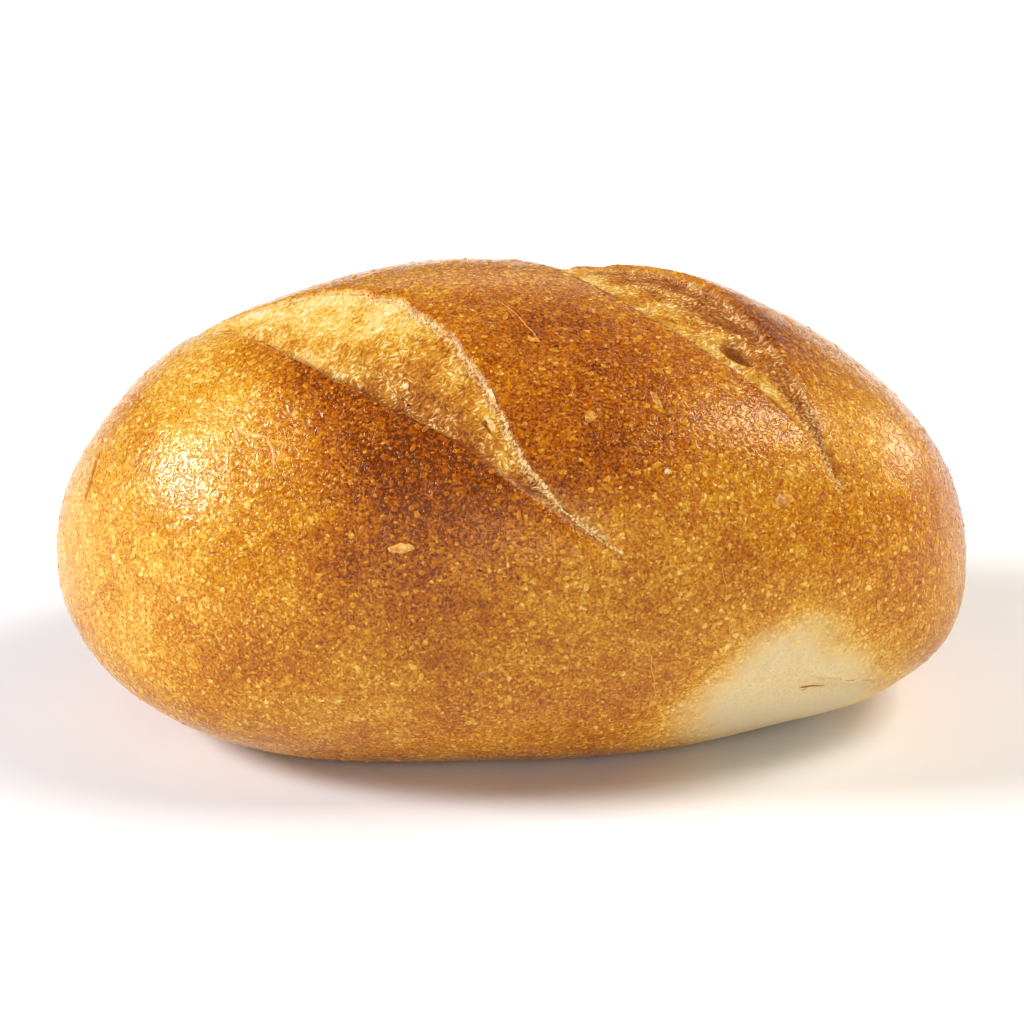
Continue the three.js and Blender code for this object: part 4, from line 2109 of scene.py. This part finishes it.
@dataclass(frozen=True)
class Softbox:
    """One large soft lamp, aimed at the roll."""

    name: str
    azimuth: float
    elevation: float
    distance: float
    width: float
    height: float
    power: float
    colour: tuple[float, float, float] = (1.0, 1.0, 1.0)

    def place(self, target: Vector) -> None:
        """Adds the lamp.

        Args:
            target: What it is aimed at.
        """
        turn, rise = math.radians(self.azimuth), math.radians(self.elevation)
        away = Vector((math.sin(turn) * math.cos(rise), -math.cos(turn) * math.cos(rise), math.sin(rise)))
        lamp = bpy.data.lights.new(self.name, "AREA")
        lamp.shape = "RECTANGLE"
        lamp.size = self.width
        lamp.size_y = self.height
        lamp.energy = self.power
        lamp.color = self.colour
        placed = add_object(self.name, lamp)
        placed.location = target + away * self.distance
        placed.rotation_euler = away.to_track_quat("Z", "Y").to_euler()


@dataclass
class Studio:
    """The pale table, the soft lamps and the camera."""

    target: tuple[float, float, float] = (0.0, 0.0, 0.0285)
    camera_elevation: float = 22.0
    camera_distance: float = 0.380
    lens: float = 90.0
    sensor: float = 36.0
    nearest_seen: float = 0.01
    floor_half: float = 3.0
    daylight: float = 0.10
    softboxes: tuple[Softbox, ...] = (
        Softbox("left softbox", -84.0, 29.0, 0.9, 0.23, 0.27, 8.6, (0.98, 1.0, 1.08)),
        Softbox("right softbox", 90.0, 50.0, 0.9, 0.34, 0.34, 6.0, (1.0, 0.93, 0.84)),
        Softbox("low right softbox", 118.0, 16.0, 1.0, 0.4, 0.24, 2.2, (1.0, 0.93, 0.84)),
        Softbox("back softbox", 172.0, 26.0, 1.1, 0.9, 0.25, 0.8),
        Softbox("front softbox", 4.0, 12.0, 1.2, 1.9, 1.2, 6.6),
        Softbox("small front softbox", 1.0, 14.0, 1.2, 0.3, 0.3, 0.9),
    )
    backdrop: tuple[float, float, float] = (0.0, 0.75, 0.8)
    backdrop_size: tuple[float, float] = (1.6, 0.6)
    backdrop_power: float = 6.0
    backdrop_spread: float = 60.0

    def lay_table(self) -> None:
        """Adds the pale table."""
        half = self.floor_half
        mesh = bpy.data.meshes.new("table")
        corners = [(-half, -half, 0.0), (half, -half, 0.0), (half, half, 0.0), (-half, half, 0.0)]
        mesh.from_pydata(corners, [], [(0, 1, 2, 3)])
        mesh.materials.append(FloorFinish().make())
        floor = add_object("table", mesh)

    def hang_lamps(self) -> None:
        """Adds the soft lamps, the wash on the table behind the roll and a little light all round."""
        for softbox in self.softboxes:
            softbox.place(Vector(self.target))

        wash = bpy.data.lights.new("floor wash", "AREA")
        wash.shape = "RECTANGLE"
        wash.size, wash.size_y = self.backdrop_size
        wash.energy = self.backdrop_power
        wash.spread = math.radians(self.backdrop_spread)
        add_object("floor wash", wash).location = self.backdrop

        world = bpy.data.worlds.new("pale studio")
        bpy.context.scene.world = world
        world.use_nodes = True
        background = world.node_tree.nodes["Background"]
        background.inputs["Color"].default_value = (1.0, 1.0, 1.0, 1.0)
        background.inputs["Strength"].default_value = self.daylight

    def set_camera(self) -> None:
        """Adds the camera, level with the roll's length and looking down on its front."""
        rise = math.radians(self.camera_elevation)
        back = Vector((0.0, -math.cos(rise), math.sin(rise)))
        lens = bpy.data.cameras.new("camera")
        lens.lens = self.lens
        lens.sensor_width = self.sensor
        lens.clip_start = self.nearest_seen
        camera = add_object("camera", lens)
        camera.location = Vector(self.target) + back * self.camera_distance
        camera.rotation_euler = back.to_track_quat("Z", "Y").to_euler()
        bpy.context.scene.camera = camera
        bpy.context.scene.view_settings.view_transform = "Standard"

    def build(self) -> None:
        """Sets the stage, the lamps and the camera."""
        self.lay_table()
        self.hang_lamps()
        self.set_camera()


# ---------------------------------------------------------------- the roll


def dress(piece: bpy.types.Object, *replaced: str) -> None:
    """Fastens a piece to the roll's body and reports it.

    Args:
        piece: The piece.
        *replaced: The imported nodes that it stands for.
    """
    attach(piece, "root")
    if replaced:
        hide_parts(*replaced)
    triangles = sum(len(face.vertices) - 2 for face in piece.data.polygons)
    LOG.info("%s: %d triangles", piece.name, triangles)


def main() -> None:
    """Builds the roll, the small things on it and the studio, in that order."""
    logging.basicConfig(level=logging.INFO, format="%(name)s %(message)s")
    loaf = Loaf()
    body = loaf.build()
    body.data.materials.append(CrustFinish().make())
    dress(body, "roll")

    skin = Skin(loaf, body)
    blistered = BlisterFinish().make()
    torn = FibreFinish().make()
    marked = MarkFinish().make()
    for scatter, material in ((PEBBLES, blistered), (CRUMB_THREADS, torn)):
        dress(scatter.build(body, material))
    for rim in (LEFT_RIM_CRUMBS, LEFT_RIM_THREADS, RIGHT_RIM_CRUMBS):
        dress(rim.build(skin, torn))
    dress(STRANDS.build(skin, marked))
    dress(MARKS.build(skin, marked))
    Studio().build()

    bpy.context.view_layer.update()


if __name__ == "__main__":
    main()
